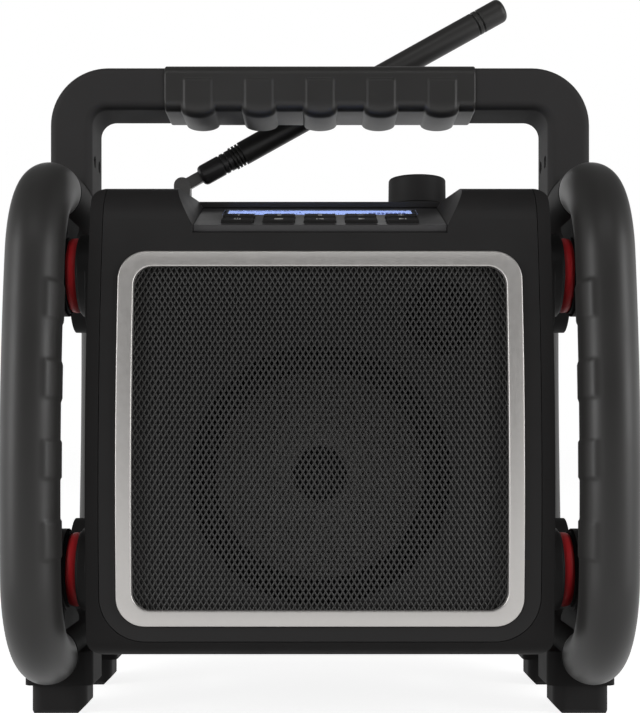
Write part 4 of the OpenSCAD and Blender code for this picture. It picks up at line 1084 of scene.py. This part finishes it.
@dataclass
class Screw:
    """Head of a small screw with a star recess.

    Attributes:
        name: Name of the piece.
        place: Where the head sits.
        axis: Outward direction of the head.
        diameter: Diameter of the head.
        lobes: Points of the star.
        star: Radius of the star between its points, as a share of the head's.
        point: How much further its points reach, as the same share.
        turns: Points round the head.
    """

    name: str
    place: Vector
    axis: Vector
    diameter: float
    lobes: int = 6
    star: float = 0.36
    point: float = 0.14
    turns: int = 48

    def build(self) -> None:
        """Make the head as a pan whose middle is pressed in."""
        radius = self.diameter / 2
        height = radius * 0.55
        shares = (0.0, 0.2, 0.34, 0.4, 0.46, 0.56, 0.7, 0.84, 0.94, 1.0)
        angles = np.linspace(0, 2 * math.pi, self.turns, endpoint=False)
        across, up = np.cos(angles), np.sin(angles)
        reach = self.star + self.point * (0.5 + 0.5 * np.cos(self.lobes * angles))
        rows = []
        for share in shares:
            dome = height * math.sqrt(max(0.0, 1 - share**2.6))
            sunk = (1 - smooth_step(share - reach, -0.05, 0.03)) * height * 0.75
            r = max(share, 0.02) * radius
            rows.append(np.stack([r * across, r * up, dome - sunk], axis=-1))
        foot = np.full(self.turns, -0.3 * MM)
        rows.append(np.stack([radius * across, radius * up, foot], axis=-1))
        faces: list[tuple[int, ...]] = loop_faces(len(rows), self.turns, close_rows=False)
        faces.append(tuple(range(self.turns)))
        faces.append(tuple(range(len(shares) * self.turns, len(rows) * self.turns)))
        turn = self.axis.to_track_quat("Z", "Y").to_matrix().to_4x4()
        points = moved(np.concatenate(rows), Matrix.Translation(self.place) @ turn)
        Piece(self.name, "zinc_steel", crease=30).build(points, faces)


@dataclass
class BackScrews:
    """Screws that hold the two halves of the housing together, in the back wall.

    Attributes:
        inset: How far in from the edges of the back they stand.
        wall_y: Where the back wall's face lies.
        diameter: Diameter of their heads.
    """

    inset: float = 9 * MM
    wall_y: float = 90 * MM
    diameter: float = 6 * MM

    def build(self) -> None:
        """Set six screws into the back wall."""
        low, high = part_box("rear_shell")
        side_x, bottom, top = high.x - self.inset, low.z + self.inset, high.z - self.inset
        places = [(x, z) for x in (-side_x, side_x) for z in (bottom, (top + bottom) / 2, top)]
        for number, (x, z) in enumerate(places, start=1):
            place = Vector((x, self.wall_y, z))
            Screw(f"back_screw_{number}", place, Vector((0, 1, 0)), self.diameter).build()


# ------------------------------------------------------------------ panel


class Symbol(Enum):
    """A plain sign printed on a key, in the order of the keys."""

    RING = "ring"
    BARS = "bars"
    BACK = "back"
    PLAY = "play"
    NEXT = "next"
    ONE = "one"
    TWO = "two"
    THREE = "three"
    MINUS = "minus"
    PLUS = "plus"


@dataclass
class ControlPanel:
    """Signs on the keys and figures on the display, laid on the sloping panel.

    Attributes:
        slope: Slope of the panel.
        ink: Thickness of the ink.
    """

    frame: dict
    slope: float = math.radians(18)
    ink: float = 0.06 * MM

    def on_plane(self, node: str) -> Matrix:
        """Find the frame of a node's upper face: X to the right and Y up the slope.

        Args:
            node: Name of the node.

        Returns:
            The frame, with its origin in the middle of the face.
        """
        low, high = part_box(node)
        middle = (low + high) / 2
        turn = Matrix.Rotation(self.slope, 4, "X")
        up, along = turn @ Vector((0, 0, 1)), turn @ Vector((0, 1, 0))
        corners = [Vector(v.co) for v in self.frame["nodes"][node].data.vertices]
        top = max((c - middle).dot(up) for c in corners)
        face = [(c - middle).dot(along) for c in corners if (c - middle).dot(up) > top - 1e-5]
        shift = (max(face) + min(face)) / 2
        return Matrix.Translation(middle + up * top + along * shift) @ turn

    def bar(self, x: float, y: float, w: float, h: float) -> list[tuple[float, float]]:
        """Return the corners of an upright bar about a point, in millimetres."""
        corners = ((-1, -1), (1, -1), (1, 1), (-1, 1))
        return [(x + a * w / 2, y + b * h / 2) for a, b in corners]

    def sign(self, symbol: Symbol) -> list[list[tuple[float, float]]]:
        """Draw a sign as flat shapes that don't overlap.

        Args:
            symbol: Which sign.

        Returns:
            Outlines in millimetres about the key's middle.
        """
        bar = self.bar
        left = [(1.6, -1.5), (1.6, 1.5), (-0.8, 0)]
        if symbol is Symbol.RING:
            turn = np.linspace(math.radians(125), math.radians(415), 25)
            outer = [(1.6 * math.cos(a), 1.6 * math.sin(a)) for a in turn]
            inner = [(1.2 * math.cos(a), 1.2 * math.sin(a)) for a in reversed(turn)]
            return [outer + inner, bar(0, 1.4, 0.4, 1.6)]
        shapes = {
            Symbol.BARS: [bar(0, y, 4.0, 0.5) for y in (-1.2, 0, 1.2)],
            Symbol.PLAY: [[(-1.2, -1.6), (1.6, 0), (-1.2, 1.6)]],
            Symbol.BACK: [left, bar(-1.4, 0, 0.5, 3.0)],
            Symbol.NEXT: [[(-x, y) for x, y in left], bar(1.4, 0, 0.5, 3.0)],
            Symbol.ONE: [bar(0, 0, 0.5, 3.2), bar(-0.5, 1.3, 0.5, 0.4)],
            Symbol.TWO: [
                *(bar(0, y, 1.8, 0.4) for y in (1.4, 0, -1.4)),
                *(bar(at, at, 0.4, 1.0) for at in (0.7, -0.7)),
            ],
            Symbol.THREE: [
                *(bar(-0.2, y, 1.4, 0.4) for y in (1.4, 0, -1.4)),
                bar(0.7, 0, 0.4, 3.2),
            ],
            Symbol.MINUS: [bar(0, 0, 2.8, 0.5)],
            Symbol.PLUS: [bar(0, 0, 2.8, 0.5), bar(0, 0.9, 0.5, 1.3), bar(0, -0.9, 0.5, 1.3)],
        }
        return shapes[symbol]

    def print_shapes(
        self,
        piece: Piece,
        place: Matrix,
        shapes: Sequence[Sequence[tuple[float, float]]],
    ) -> None:
        """Print flat shapes as thin closed slabs on a face.

        Args:
            piece: The piece that they become.
            place: Frame of the face.
            shapes: Outlines in millimetres.
        """
        points: list[tuple[float, float, float]] = []
        faces: list[tuple[int, ...]] = []
        for shape in shapes:
            count, first = len(shape), len(points)
            for level in (0.0, self.ink):
                points.extend((x * MM, y * MM, level) for x, y in shape)
            faces.append(tuple(first + k for k in reversed(range(count))))
            faces.append(tuple(first + count + k for k in range(count)))
            for k in range(count):
                n = (k + 1) % count
                faces.append((first + k, first + n, first + count + n, first + count + k))
        piece.build(moved(np.array(points), place), faces)

    def display(self) -> None:
        """Draw the display's figures: a tuning scale, its needle, and rows of level bars."""
        bar = self.bar
        shapes = [bar(-41 + 2 * i, -2.8, 0.3, 1.6 if i % 5 else 2.8) for i in range(30)]
        shapes.append(bar(-12, -5.6, 24.0, 0.4))
        shapes.append(bar(-9.6, 0.4, 0.6, 3.0))
        shapes += [bar(-38 + 4.4 * i, 4.2, 3.2, 0.7) for i in range(6)]
        for i in range(9):
            for level in range(1 + (i * 5 + 2) % 5):
                shapes.append(bar(24 + 2 * i, -5 + 2.2 * level, 1.4, 1.5))
        place = self.on_plane("lcd_module")
        figures = Piece("display_figures", "lcd", finish=DISPLAY_INK)
        self.print_shapes(figures, place, shapes)

    def build(self) -> None:
        """Print the keys and the display."""
        for number, symbol in enumerate(Symbol, start=1):
            key = f"key_{number}"
            piece = Piece(f"legend_{symbol.value}", "black_abs", body=key, finish=PAD_INK)
            self.print_shapes(piece, self.on_plane(key), self.sign(symbol))
        self.display()


@dataclass
class Knob:
    """Volume knob: straight side, rounded shoulder, dished top and a groove over its skirt.

    Attributes:
        shoulder: Radius between side and top.
        height: Height over its skirt's foot.
        groove: Depth of the groove.
        dish: Depth of the dished top.
        bore_radius: Radius of the hole for the shaft.
        bore_top: How high that hole reaches.
        hollow_radius: Radius of the hollow underneath.
        hollow_top: How high that hollow reaches.
    """

    shoulder: float = 1.6 * MM
    height: float = 16.6 * MM
    groove: float = 0.35 * MM
    dish: float = 0.9 * MM
    bore_radius: float = 4.0 * MM
    bore_top: float = 10.0 * MM
    hollow_radius: float = 7.0 * MM
    hollow_top: float = 3.5 * MM

    def build(self) -> None:
        """Make the knob in place of its solid."""
        low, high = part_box("volume_knob")
        radius = (high.x - low.x) / 2 - 0.05 * MM
        edge, level = radius - self.shoulder - 0.2 * MM, self.height - self.shoulder
        profile = [(self.bore_radius, self.hollow_top), (self.hollow_radius, self.hollow_top)]
        profile += [(self.hollow_radius, 0.0), (radius - 0.5 * MM, 0.0)]
        profile += [(radius, 0.5 * MM), (radius, 2.2 * MM)]
        profile += [(radius - self.groove, z * MM) for z in (2.5, 2.9)]
        profile.append((radius - 0.05 * MM, 3.2 * MM))
        for angle in np.linspace(0, math.pi / 2, 9):
            profile.append(
                (edge + self.shoulder * math.cos(angle), level + self.shoulder * math.sin(angle))
            )
        for share in (0.84, 0.8, 0.72, 0.55, 0.35, 0.15, 0.002):
            sunk = self.dish * (1 - (share / 0.84) ** 2)
            profile.append((radius * share, self.height - sunk))
        profile += [(0.03 * MM, self.bore_top), (self.bore_radius, self.bore_top)]
        points, faces = revolve(profile, 128)
        middle = (low + high) / 2
        place = Matrix.Translation(Vector((middle.x, middle.y, low.z)))
        # Painted shade: the knob takes a darker copy of the fascia plastic than its slot's own
        Piece(
            "knob_cap", "fascia_abs", body="knob", replaces=("volume_knob",), finish=KNOB_ABS_PAINTED_SHADE
        ).build(moved(points, place), faces)


@dataclass
class Woofer:
    """Woofer cone with a flared profile and shallow stiffening rings.

    Attributes:
        skin: Thickness of the pulp.
        neck: Radius at which the cone meets its cap.
        flare: How strongly the cone flares; 1 is straight.
        rings: Number of stiffening rings.
        ring_rise: How far they rise.
        steps: Points along the cone.
    """

    skin: float = 0.8 * MM
    neck: float = 12.2 * MM
    flare: float = 1.7
    rings: int = 3
    ring_rise: float = 0.25 * MM
    steps: int = 44

    def build(self) -> None:
        """Make the cone in place of its solid."""
        low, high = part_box("woofer_cone")
        outer = (high.x - low.x) / 2
        depth = high.y - low.y - self.skin
        face, back = [], []
        for step in range(self.steps + 1):
            share = step / self.steps
            radius = outer + (self.neck - outer) * share
            fall = depth * (1 - (1 - share) ** self.flare)
            wave = self.ring_rise * math.sin(2 * math.pi * self.rings * share) ** 2
            face.append((radius, -fall + wave))
            back.append((radius, -fall + wave - self.skin))
        points, faces = revolve(face + back[::-1], 160)
        middle = (low + high) / 2
        turn = Matrix.Rotation(math.pi / 2, 4, "X")
        place = Matrix.Translation(Vector((middle.x, low.y, middle.z))) @ turn
        Piece("cone_pressing", "speaker_paper", replaces=("woofer_cone",)).build(
            moved(points, place), faces
        )


@dataclass
class Antenna:
    """Root of the antenna: a flat nickel tongue in the turret and a black boot over it.

    Attributes:
        pivot: The tilt pivot.
        lean: Angle above the horizontal as it is stored.
        tongue_t: Thickness of the tongue.
        tongue_r: Radius of its eye.
        bar_half: Half the height of the bar that it runs out into.
        boot: Where the boot starts and ends along the antenna.
        boot_r: Radius of the boot.
        bore: Radius of the boot's bore.
    """

    pivot: tuple[float, float, float] = (-74.5 * MM, 40 * MM, 267.8 * MM)
    lean: float = math.radians(29.1)
    tongue_t: float = 4.2 * MM
    tongue_r: float = 4.1 * MM
    bar_half: float = 3 * MM
    boot: tuple[float, float] = (11 * MM, 31 * MM)
    boot_r: float = 5.6 * MM
    bore: float = 2.2 * MM

    def place(self) -> Matrix:
        """Return the frame on the pivot, with X along the antenna."""
        return Matrix.Translation(Vector(self.pivot)) @ Matrix.Rotation(-self.lean, 4, "Y")

    def tongue(self) -> None:
        """Make the tongue: a round eye that runs out into a flat bar."""
        reach = self.boot[0] + 2 * MM
        turn = np.linspace(math.radians(48), math.radians(312), 40)
        outline = [(self.tongue_r * math.cos(a), self.tongue_r * math.sin(a)) for a in turn]
        outline += [(reach, -self.bar_half), (reach, self.bar_half)]
        half = self.tongue_t / 2
        levels = ((-half, 0.94), (-half + 0.3 * MM, 1.0), (half - 0.3 * MM, 1.0), (half, 0.94))
        rows = [[(x * k, y, z * k) for x, z in outline] for y, k in levels]
        points = np.array(rows).reshape(-1, 3)
        count = len(outline)
        faces: list[tuple[int, ...]] = loop_faces(len(levels), count, close_rows=False)
        faces.append(tuple(range(count)))
        faces.append(tuple(range(3 * count, 4 * count)))
        Piece(
            "antenna_tongue", "plated_steel", body="antenna_mast", replaces=("antenna_collar",)
        ).build(moved(points, self.place()), faces)

    def sleeve(self) -> None:
        """Make the boot: a tapered lead-in, a plain barrel and two turned rings."""
        (start, end), r = self.boot, self.boot_r
        profile = [(self.bore, start), (3.6 * MM, start), (4.6 * MM, start + 0.5 * MM)]
        profile += [(r - 0.3 * MM, start + 1.4 * MM), (r, start + 2.4 * MM)]
        for ring in range(2):
            at = end - 7 * MM + ring * 3 * MM
            profile += [(r, at), (r - 0.5 * MM, at + 0.3 * MM)]
            profile += [(r - 0.5 * MM, at + 1.0 * MM), (r, at + 1.3 * MM)]
        profile += [(r, end - 0.3 * MM), (r - 0.3 * MM, end), (self.bore, end)]
        points, faces = revolve(profile, 72)
        place = self.place() @ Matrix.Rotation(math.pi / 2, 4, "Y")
        # Painted light: the boot takes the paler panel plastic in place of its black one, lifting
        # its shaded, downward-facing side
        Piece(
            "antenna_boot",
            "black_abs",
            body="antenna_mast",
            replaces=("antenna_collar",),
            finish=PANEL_ABS_PAINTED_LIGHT,
        ).build(moved(points, place), faces)

    def build(self) -> None:
        """Make both pieces of the antenna's root."""
        self.tongue()
        self.sleeve()


# ------------------------------------------------------------------ studio


@dataclass
class Studio:
    """Pale floor, soft light and the camera at the photograph's place.

    Attributes:
        camera_y: How far in front of the object the camera stands.
        camera_z: Its height.
        focal_px: Its focal length in pixels of a frame 640 wide and 713 high.
        rise_px: How far the horizon lies below the frame's middle.
        frame_h: Height of that frame.
        sensor: Size of the camera's sensor along the frame's height, in millimetres.
        front_glow: Strength of the room in front of the object.
        side_glow: Strength of the walls at its sides.
        ceiling_glow: Share of that strength that the ceiling keeps.
        floor_tint: Strength that the floor adds as the camera sees it.
        floor_gloss: Strength that it adds in reflections.
        side_power: Power of each soft box at the sides, in watts.
        top_power: Power of the soft box overhead, in watts.
    """

    camera_y: float = -668 * MM
    camera_z: float = 127.6 * MM
    focal_px: float = 1303.0
    rise_px: float = 88.5
    frame_h: float = 713.0
    sensor: float = 36.0
    front_glow: float = 0.3
    side_glow: float = 1.45
    ceiling_glow: float = 0.12
    floor_tint: float = 0.86
    floor_gloss: float = 0.7
    side_power: float = 9.0
    top_power: float = 2.2

    def camera(self) -> None:
        """Make the camera, level and looking along +Y."""
        data = bpy.data.cameras.new("camera")
        data.sensor_width = self.sensor
        data.lens = self.focal_px * self.sensor / self.frame_h
        data.shift_y = self.rise_px / self.frame_h
        thing = bpy.data.objects.new("camera", data)
        thing.location = (0, self.camera_y, self.camera_z)
        thing.rotation_euler = (math.pi / 2, 0, 0)
        bpy.context.scene.collection.objects.link(thing)
        bpy.context.scene.camera = thing

    def lamp(self, name: str, place: Sequence[float], size: Sequence[float], power: float) -> None:
        """Hang one soft box that looks at the middle of the object.

        Args:
            name: Name of the lamp.
            place: Where it hangs.
            size: Its width and height.
            power: Its power in watts.
        """
        data = bpy.data.lights.new(name, "AREA")
        data.shape = "RECTANGLE"
        data.size, data.size_y = size
        data.energy = power
        thing = bpy.data.objects.new(name, data)
        thing.location = place
        aim = Vector((0, 0, 0.15)) - Vector(place)
        thing.rotation_euler = aim.to_track_quat("-Z", "Y").to_euler()
        bpy.context.scene.collection.objects.link(thing)

    def world(self) -> None:
        """Light the room: bright side walls, a dim ceiling and a white backdrop behind."""
        world = bpy.data.worlds.new("studio")
        bpy.context.scene.world = world
        world.use_nodes = True
        tree = world.node_tree
        tree.nodes.clear()
        place = add_node(tree, "ShaderNodeTexCoord").outputs["Generated"]
        axes = add_node(tree, "ShaderNodeSeparateXYZ", {"Vector": place}).outputs
        side = add_node(tree, "ShaderNodeMath", {0: axes["X"]}, operation="ABSOLUTE")
        eased = []
        for value, start, end, first, last in (
            (side, 0.3, 0.95, self.front_glow, self.side_glow),
            (axes["Z"], 0.05, 0.55, 1.0, self.ceiling_glow),
            (axes["Y"], 0.75, 0.95, 0.0, 1.0),
        ):
            span = {"Value": value, "From Min": start, "From Max": end}
            span |= {"To Min": first, "To Max": last}
            node = add_node(tree, "ShaderNodeMapRange", span, interpolation_type="SMOOTHSTEP")
            eased.append(node)
        walls, ceiling, backdrop = eased
        ray = add_node(tree, "ShaderNodeLightPath").outputs
        glossy = {0: backdrop, 1: ray["Is Glossy Ray"]}
        mirrored = add_node(tree, "ShaderNodeMath", glossy, operation="MULTIPLY")
        glow = add_node(tree, "ShaderNodeMath", {0: walls, 1: ceiling}, operation="MULTIPLY")
        for other in (mirrored, ray["Is Camera Ray"], ray["Is Transmission Ray"]):
            glow = add_node(tree, "ShaderNodeMath", {0: glow, 1: other}, operation="MAXIMUM")
        light = add_node(tree, "ShaderNodeBackground", {"Color": (1, 1, 1, 1), "Strength": glow})
        add_node(tree, "ShaderNodeOutputWorld", {"Surface": light})

    def floor(self) -> None:
        """Lay the pale floor, which keeps the object's shadow."""
        size = 30.0
        mesh = bpy.data.meshes.new("floor")
        corners = [(-size, -size, 0), (size, -size, 0), (size, size, 0), (-size, size, 0)]
        mesh.from_pydata(corners, [], [(0, 1, 2, 3)])
        thing = bpy.data.objects.new("floor", mesh)
        bpy.context.scene.collection.objects.link(thing)
        material = bpy.data.materials.new("painted_floor")
        material.use_nodes = True
        tree = material.node_tree
        tree.nodes.clear()
        ray = add_node(tree, "ShaderNodeLightPath").outputs
        camera, glossy = ray["Is Camera Ray"], ray["Is Glossy Ray"]
        glow: object = ray["Is Transmission Ray"]
        for kind, share in ((camera, self.floor_tint), (glossy, self.floor_gloss)):
            part = add_node(tree, "ShaderNodeMath", {0: kind, 1: share}, operation="MULTIPLY")
            glow = add_node(tree, "ShaderNodeMath", {0: glow, 1: part}, operation="MAXIMUM")
        seen = add_node(tree, "ShaderNodeMath", {0: camera, 1: glossy}, operation="MAXIMUM")
        # The paint that is seen is paler than what the floor throws back on the object
        paint = add_node(tree, "ShaderNodeBsdfDiffuse", {"Color": linear("#e8e8e8")})
        dull = add_node(tree, "ShaderNodeBsdfDiffuse", {"Color": linear("#5c5c5c")})
        coat = add_node(tree, "ShaderNodeMixShader", {0: seen, 1: dull, 2: paint})
        white = add_node(tree, "ShaderNodeEmission", {"Color": (1, 1, 1, 1), "Strength": glow})
        both = add_node(tree, "ShaderNodeAddShader", {0: coat, 1: white})
        add_node(tree, "ShaderNodeOutputMaterial", {"Surface": both})
        mesh.materials.append(material)

    def build(self) -> None:
        """Set up the room, the light and the camera."""
        bpy.context.scene.view_settings.view_transform = "Standard"
        self.world()
        self.floor()
        for name, side in (("soft_box_left", -1), ("soft_box_right", 1)):
            self.lamp(name, (1.4 * side, -0.7, 0.45), (0.5, 1.2), self.side_power)
        self.lamp("soft_box_top", (0, -1.05, 1.2), (1.2, 0.2), self.top_power)
        self.camera()


# ------------------------------------------------------------------ assembly


def dress_solids(frame: dict) -> None:
    """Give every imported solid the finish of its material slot.
    """
    for row in frame["record"]["subparts"]:
        solid = frame["nodes"][row["node"]]
        finish = NODE_FINISH.get(row["node"], SLOT_FINISH[row["material_slot"]])
        solid.data.materials.clear()
        solid.data.materials.append(finish.material())


def main() -> None:
    """Load the frame and build every sub-assembly round it."""
    logging.basicConfig(level=logging.INFO, format="%(message)s")
    for leftover in list(bpy.data.objects):
        bpy.data.objects.remove(leftover)
    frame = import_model()
    dress_solids(frame)

    front = BowedFront(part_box("fascia")[0].y)
    TrimFrame(front).build()
    DiamondGrille(front).build()
    for side in ("left", "right"):
        CageBar(f"bumper_front_{side}", -1, 600 * MM, 106 * MM).build()
        CageBar(f"bumper_rear_{side}", 1, 1000 * MM, 195 * MM).build()
    Grip().build()
    ControlPanel(frame).build()
    Knob().build()
    Woofer().build()
    Antenna().build()
    BackScrews().build()
    Studio().build()


if __name__ == "__main__":
    main()
